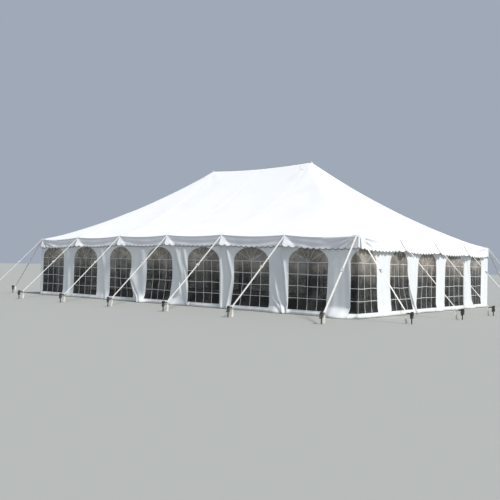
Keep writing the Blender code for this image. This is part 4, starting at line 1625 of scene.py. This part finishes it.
# %% Bars: sweep, repeat and hang them
def make_strips(name, side, lines, width, thickness, lift, material, slot):
    centres = own_windows(side)
    values = {
        "Width": width, "Thickness": thickness, "Step": STRIP_STEP, "Windows": len(centres),
        "First window": min(centres), "Pitch": WINDOW_PITCH, "Material": material,
    }
    mesh = grow(name, WINDOW_TREE, values, line_mesh(name + "_lines", lines))
    flat = np.empty(len(mesh.vertices) * 3, np.float32)
    mesh.vertices.foreach_get("co", flat)
    flat = flat.reshape(-1, 3).astype(float)
    placed = hang_on_wall(side, flat[:, 0], flat[:, 1], flat[:, 2] + lift)
    mesh.vertices.foreach_set("co", placed.astype(np.float32).ravel())
    shade(mesh, 50)
    return add_piece(name, mesh)


STRIPS = {
    "bars": (bar_lines(), BAR_WIDTH, BAR_THICKNESS, BAR_LIFT, BAR_VINYL, "window_sheet"),
    "spokes": (spoke_lines(), SPOKE_WIDTH, BAR_THICKNESS, SPOKE_LIFT, BAR_VINYL, "window_sheet"),
    "borders": (border_lines(), BORDER_WIDTH, BORDER_THICKNESS, BORDER_LIFT, WALL_CLOTH, "wall_cloth"),
}
for side in SIDES:
    for kind, strip in STRIPS.items():
        made = make_strips(f"{side}_window_{kind}", side, *strip)
        print(side, kind, len(made.data.polygons), "faces")

# %% [markdown]
# ## Poles
# Side poles are aluminium tubes on a round foot. A sleeve at the top holds the pin that goes through
# the cloth's ring. They are turned from a profile: a lathe gives true rounds with few points, and the
# foot, the sleeve and its crimp are only more steps in the profile.

# %% Poles
SIDE_POLE = {"radius": 0.0275, "pin": 0.008, "pin_length": 0.040, "foot": 0.050, "foot_thickness": 0.008}
CENTRE_POLE = {"radius": 0.049, "pin": 0.012, "pin_length": 0.090, "foot": 0.130, "foot_thickness": 0.012}
POLE_KINDS = {"side": (SIDE_POLE, 28), "centre": (CENTRE_POLE, 40)}  # sizes and number of sides
POLE_EDGE = 0.002  # how far the edges of a foot are rounded
WELD_WIDTH = 0.006
WELD_HEIGHT = 0.008
SLEEVE_LENGTH = 6  # in radii of the pole
SLEEVE_WALL = 0.002
CRIMP_WALL = 0.0005
PIN_POINT = 0.010  # length of a pin's point


def pole_profile(height, radius, pin, pin_length, foot, foot_thickness):
    """(radius, height) from the foot up: foot, weld, tube, sleeve with its crimp, shoulder and pin."""
    shoulder = height - pin_length
    sleeve = shoulder - SLEEVE_LENGTH * radius
    return [
        (foot - POLE_EDGE, 0.0),
        (foot, POLE_EDGE),
        (foot, foot_thickness - POLE_EDGE),
        (foot - 1.5 * POLE_EDGE, foot_thickness),
        (radius + WELD_WIDTH, foot_thickness),
        (radius, foot_thickness + WELD_HEIGHT),
        (radius, sleeve),
        (radius + SLEEVE_WALL, sleeve + SLEEVE_WALL),
        (radius + SLEEVE_WALL, sleeve + radius),
        (radius + CRIMP_WALL, sleeve + 1.2 * radius),
        (radius + CRIMP_WALL, sleeve + 1.5 * radius),
        (radius + SLEEVE_WALL, sleeve + 1.7 * radius),
        (radius + SLEEVE_WALL, shoulder - radius),
        (radius - 0.004, shoulder - 0.5 * radius),
        (pin + 0.001, shoulder),
        (pin, shoulder + 0.004),
        (pin, height - PIN_POINT),
        (0.002, height - 0.001),
    ]


def make_pole(node, sizes, sides):
    low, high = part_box(node)
    foot = ((low.x + high.x) / 2, (low.y + high.y) / 2, 0.0)
    shapes = Shapes()
    turned_shape(shapes, pole_profile(high.z, **sizes), foot, sides)
    return add_piece(node + "_tube", shapes.mesh(node + "_tube", 40), POLE_METAL, [node])


pole_nodes = sorted(name for name in frame["nodes"] if name.startswith(("side_pole", "centre_pole")))
for node in pole_nodes:
    make_pole(node, *POLE_KINDS[node.split("_")[0]])
print("poles", len(pole_nodes))

# %% [markdown]
# ## Guys
# A guy is webbing from the pole top to a stake. A ratchet near its middle pulls it taut, its lower end
# is hooked to a dark sling that is wound round the stake's neck, and the spare end hangs to the ground.
# Each part is drawn in the guy's own frame: `a` out from the eave, `b` sideways and `z` up. The frame is
# read off the guy's solid, because the two guys of a corner spread apart.

# %% Guys: sizes and the frame they are drawn in
STRAP_WIDTH = 0.050
STRAP_THICKNESS = 0.0028
STRAP_START = (0.018, 0.022)  # out from the guy's top and down from it
STRAP_END_HEIGHT = 0.27
STRAP_SAG = 0.012
TAIL_SETBACK = 0.15  # from the stake's axis back to the strap's hooked end
RATCHET_SHARE = 0.45  # how far down the strap the ratchet sits
STAKE_RADIUS = 0.016
STAKE_HEIGHT = 0.31
STAKE_HEAD_RADIUS = 0.028
STAKE_HEAD_THICKNESS = 0.020


class Guy:
    """The frame of one guy, read off its solid: where it starts, which way it runs and how far."""

    def __init__(self, side, along, node):
        out_axis = 1 if side in LONG_SIDES else 0
        corners = [tuple(corner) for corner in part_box(node)]
        foot_out = max(abs(corner[out_axis]) for corner in corners) - STAKE_HEAD_RADIUS - SIDES[side][3]
        foot_along = along
        if abs(along) > SIDES[side][1] - BAY / 2:
            outermost = max(abs(corner[1 - out_axis]) for corner in corners)
            foot_along = math.copysign(outermost - STAKE_HEAD_RADIUS, along)
        self.side = side
        self.along = along
        self.top = max(corner[2] for corner in corners)
        self.reach = math.hypot(foot_along - along, foot_out)
        self.turn = math.atan2(foot_along - along, foot_out)

    def place(self, points):
        """Rows of (a, b, z) as places in the tent's frame."""
        a, b, z = np.moveaxis(np.asarray(points, float), -1, 0)
        sideways, outwards = math.sin(self.turn), math.cos(self.turn)
        along = self.along + a * sideways + b * outwards
        return place_on_side(self.side, along, a * outwards - b * sideways, z)

    def strap(self, share):
        """Middle of the taut strap, sagging a little, at a share of the way from the eave down."""
        share = np.asarray(share, float)[..., None]
        start = np.array([STRAP_START[0], 0.0, self.top - STRAP_START[1]])
        end = np.array([self.reach - TAIL_SETBACK, 0.0, STRAP_END_HEIGHT])
        sag = np.array([0.0, 0.0, 4 * STRAP_SAG])
        return start + (end - start) * share - sag * share * (1 - share)


# %% Guys: webbing
ROOF_STRAP_PLACES = (0.26, 0.20, 0.14, 0.09, 0.045)  # back from the eave, up the roof
ROOF_STRAP_LIFT = 0.0065
EAVE_BEND = ((0.0, 0.0, 0.009), (0.013, 0.0, 0.0))  # where the strap turns over the eave
UPPER_STRAP = (0.005, 0.015)  # shares that it stays clear of the eave and of the ratchet's middle
LOWER_STRAP = 0.010
EYE_RADII = (0.016, 0.022)
EYE_TURN = 6  # radians of the eye's loop
EYE_WIDTH = 0.054
TAIL_START = 0.006  # how far behind the eye the hanging end starts
TAIL_LENGTH = 0.262
TAIL_LEAN = 0.02
TAIL_BOW = (0.012, 0.030)
TAIL_TWIST = 0.35  # share of the hanging end in which it turns into the wind
TAIL_NARROWING = 0.96
WIND_FACE = np.array([0.7, 0.7, 0.0])  # the wind turns the hanging ends this way


def make_guy_webbing(guy, seed):
    """Upper strap over the eave, lower strap with its hooked eye, and the hanging end."""
    draw = np.random.default_rng(seed)
    shapes = Shapes()
    sideways = guy.place((0, 1, 0)) - guy.place((0, 0, 0))
    eye_at = guy.reach - TAIL_SETBACK

    roof = [on_roof(*guy.place((-a, 0, 0))[:2], ROOF_STRAP_LIFT) for a in ROOF_STRAP_PLACES]
    over = guy.place([(a, b, guy.top + z) for a, b, z in EAVE_BEND])
    upper = guy.place(guy.strap(np.linspace(UPPER_STRAP[0], RATCHET_SHARE - UPPER_STRAP[1], 14)))
    flat_band(shapes, np.concatenate([roof, over, upper]), sideways, STRAP_WIDTH, STRAP_THICKNESS)

    lower = guy.place(guy.strap(np.linspace(RATCHET_SHARE + LOWER_STRAP, 1.0, 16)))
    flat_band(shapes, lower, sideways, STRAP_WIDTH, 2 * STRAP_THICKNESS)

    long, high = EYE_RADII
    turns = np.linspace(0, EYE_TURN, 9)
    eye = [(eye_at + long * math.sin(t), 0.0, STRAP_END_HEIGHT + high * math.cos(t)) for t in turns]
    flat_band(shapes, guy.place(eye), sideways, EYE_WIDTH, STRAP_THICKNESS)

    down = np.linspace(0, 1, 12)
    lean = draw.uniform(-TAIL_LEAN, TAIL_LEAN)
    bow = draw.uniform(*TAIL_BOW)
    back = eye_at - TAIL_START - bow * np.sin(np.pi * down)
    tail = np.stack([back, lean * down, STRAP_END_HEIGHT - TAIL_LENGTH * down], axis=-1)
    twist = soft_step(down, 0.0, TAIL_TWIST)[:, None]
    across = sideways * (1 - twist) + WIND_FACE * np.sign(WIND_FACE @ sideways) * twist
    flat_band(shapes, guy.place(tail), across, STRAP_WIDTH * TAIL_NARROWING, STRAP_THICKNESS)
    return shapes.mesh("guy_webbing", 35)


# %% Guys: the sling between the strap and the stake
SLING_WIDTH = 0.030
SLING_TURNS = 4
SLING_LOW = 0.150  # height of the lowest turn
SLING_GAP = 0.010
SLING_LOOSE = (0.006, 0.028)  # how far a turn stands off the neck, beyond the gap
SLING_TILT = (0.006, 0.018)
SLING_CLIMB = 0.0015  # for each radian of a turn
SLING_RUN = (0.012, 0.011, 0.012)  # where the two runs start: beyond the strap's end, apart, and their drop
RUN_THICKNESS = 0.004
TURN_THICKNESS = 0.005
TURN_LENGTH = 2.1 * math.pi  # each turn laps its own start


def make_sling(guy, seed):
    """Dark webbing from the strap's eye to the stake, wound round its neck in overlapping turns."""
    draw = np.random.default_rng(seed)
    shapes = Shapes()
    beyond, apart, drop = SLING_RUN
    eye_at = guy.reach - TAIL_SETBACK + beyond
    steps = np.linspace(0, 1, 7)
    for b in (-apart, apart):
        run = [(eye_at + (guy.reach - eye_at) * s, b * (1 + s), STRAP_END_HEIGHT - drop * s) for s in steps]
        flat_band(shapes, guy.place(run), (0, 0, 1), SLING_WIDTH, RUN_THICKNESS)
    high = STAKE_HEIGHT - STAKE_HEAD_THICKNESS - SLING_WIDTH / 2
    for turn in range(SLING_TURNS):
        angles = np.linspace(0, TURN_LENGTH, 33) + draw.uniform(0, 6)
        middle = high + (SLING_LOW - high) * turn / (SLING_TURNS - 1)
        radius = STAKE_RADIUS + SLING_GAP + draw.uniform(*SLING_LOOSE)
        tilt = draw.uniform(*SLING_TILT)
        ring = np.stack([
            guy.reach + radius * np.cos(angles),
            radius * np.sin(angles),
            middle + tilt * np.sin(angles) + SLING_CLIMB * angles,
        ], axis=-1)
        flat_band(shapes, guy.place(ring), (0, 0, 1), SLING_WIDTH, TURN_THICKNESS)
    return shapes.mesh("sling", 35)


# %% Guys: parts of a ratchet
# A ratchet has a frame of its own: u runs down the strap, b across it and w off its face.
PLATE_THICKNESS = 0.003
TOOTH_ROOT = 0.78  # share of a wheel's radius between its teeth


def prism_faces(count):
    """Faces of a prism whose two ends have that many points each."""
    sides = [(i, (i + 1) % count, count + (i + 1) % count, count + i) for i in range(count)]
    return sides + [tuple(reversed(range(count))), tuple(range(count, 2 * count))]


def plate_shape(shapes, place, outline, b, thickness=PLATE_THICKNESS):
    """Adds a plate or a bar from its outline in (u, w). Its thickness, or length, lies along b."""
    points = [(u, b + end * thickness / 2, w) for end in (-1, 1) for u, w in outline]
    shapes.add(place(points), prism_faces(len(outline)))


def rod_outline(u, w, radius, sides=14, teeth=0):
    """Outline of a rod, or with teeth of a ratchet wheel."""
    count = 2 * teeth if teeth else sides
    radii = [radius * (TOOTH_ROOT if teeth and i % 2 else 1.0) for i in range(count)]
    turns = [math.tau * i / count for i in range(count)]
    return [(u + r * math.cos(t), w + r * math.sin(t)) for r, t in zip(radii, turns)]


def box_outline(u_low, u_high, w_low, w_high):
    return [(u_low, w_low), (u_high, w_low), (u_high, w_high), (u_low, w_high)]


AXLE = 0.036  # u of the axle that the strap is wound on
CHEEK_RADIUS = 0.024
CHEEK_ARC = 1.9
CHEEK_OUT = 0.030
CHEEK = [
    (AXLE + CHEEK_RADIUS * math.cos(t), CHEEK_RADIUS * math.sin(t))
    for t in np.linspace(-CHEEK_ARC, CHEEK_ARC, 13)
]
CHEEK += [(-0.055, 0.010), (-0.062, 0.0), (-0.055, -0.010)]
WHEEL = {"radius": 0.020, "teeth": 10, "out": 1.09, "thickness": 0.0036}  # out is over that of the cheeks
HANDLE_ARM = (-0.030, 0.062, 0.012, 0.022)  # lowest and highest u, lowest and highest w
HANDLE_OUT = 1.13
RODS = (  # u, w, radius and length of the front bolt, the axle and the handle's bolt
    (-0.052, 0.0, 0.006, 0.068),
    (AXLE, 0.0, 0.008, 0.070),
    (-0.030, 0.017, 0.0075, 0.068),
)
BARS = (  # sides and length of the handle's grip and of the pawl
    ((0.050, 0.064, 0.013, 0.021), 0.068),
    ((-0.006, 0.012, 0.006, 0.010), 0.056),
)
WOUND_RADIUS = 0.0205
WOUND_WIDTH = 0.049


# %% Guys: ratchet
def make_ratchet(guy):
    """Cheeks, wheels, bolts and a folded handle in zinc, and the webbing wound on the axle."""
    middle = guy.strap(RATCHET_SHARE)
    ahead = unit(guy.strap(RATCHET_SHARE + LOWER_STRAP) - middle)
    normal = np.array([-ahead[2], 0.0, ahead[0]])

    def place(points):
        points = np.asarray(points, float)
        local = middle + points[:, :1] * ahead + points[:, 2:] * normal
        local[:, 1] += points[:, 1]
        return guy.place(local)

    metal = Shapes()
    for b in (-CHEEK_OUT, CHEEK_OUT):
        wheel = rod_outline(AXLE, 0.0, WHEEL["radius"], teeth=WHEEL["teeth"])
        plate_shape(metal, place, CHEEK, b)
        plate_shape(metal, place, wheel, b * WHEEL["out"], WHEEL["thickness"])
        plate_shape(metal, place, box_outline(*HANDLE_ARM), b * HANDLE_OUT)
    for u, w, radius, length in RODS:
        plate_shape(metal, place, rod_outline(u, w, radius), 0.0, length)
    for edges, length in BARS:
        plate_shape(metal, place, box_outline(*edges), 0.0, length)
    wound = Shapes()
    plate_shape(wound, place, rod_outline(AXLE, 0.0, WOUND_RADIUS, sides=20), 0.0, WOUND_WIDTH)
    return metal.mesh("ratchet", 30), wound.mesh("wound", 40)


# %% Guys: stakes
HEAD_RIM = 0.02  # radius beyond which the hammer has burred the head
BURR = 0.02  # spread of the burrs, as a share of the radius
BURR_LIMITS = (-0.04, 0.02)


def make_stake(guy, seed):
    """A round steel stake with a chamfered head, burred by the hammer."""
    draw = np.random.default_rng(seed)
    under = STAKE_HEIGHT - STAKE_HEAD_THICKNESS
    profile = [
        (STAKE_RADIUS, 0.0), (STAKE_RADIUS, under - 0.004), (STAKE_RADIUS + 0.004, under),
        (STAKE_HEAD_RADIUS - 0.002, under + 0.001), (STAKE_HEAD_RADIUS, under + 0.004),
        (STAKE_HEAD_RADIUS, STAKE_HEIGHT - 0.007), (STAKE_HEAD_RADIUS - 0.005, STAKE_HEIGHT - 0.001),
        (0.014, STAKE_HEIGHT), (0.004, STAKE_HEIGHT - 0.001),
    ]
    foot = guy.place((guy.reach, 0, 0))
    shapes = Shapes()
    turned_shape(shapes, profile, foot, 20)
    points = shapes.points[0]
    spread = np.hypot(*(points - foot)[:, :2].T)
    on_rim = (points[:, 2] > under) & (spread > HEAD_RIM)
    burr = 1 + np.clip(BURR * draw.standard_normal(len(points)), *BURR_LIMITS) * on_rim
    points[:, :2] = foot[:2] + (points - foot)[:, :2] * burr[:, None]
    return shapes.mesh("stake", 35)


# %% Guys: one at each pole line of each side
STAKE_SEED = 100
SLING_SEED = 200


def make_guys():
    made = 0
    for side in SIDES:
        for i, along in enumerate(pole_lines(side)):
            node = f"guy_{side}_{i + 1}"
            guy = Guy(side, along, node)
            strap = make_guy_webbing(guy, made)
            metal, wound = make_ratchet(guy)
            stake = make_stake(guy, STAKE_SEED + made)
            sling = make_sling(guy, SLING_SEED + made)
            add_piece(node + "_webbing", strap, WEBBING, [node])
            add_piece(node + "_sling", sling, SLING_WEBBING, [node])
            add_piece(node + "_ratchet", metal, ZINC, [node])
            add_piece(node + "_wound_strap", wound, WEBBING, [node])
            add_piece(node + "_stake", stake, STAKE_STEEL, [node])
            made += 1
    print("guys", made, "with faces of a strap", len(strap.polygons), "and a ratchet", len(metal.polygons))


make_guys()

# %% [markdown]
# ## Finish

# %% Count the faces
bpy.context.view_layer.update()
faces = sum(len(piece.data.polygons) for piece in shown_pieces())
print("faces", faces)
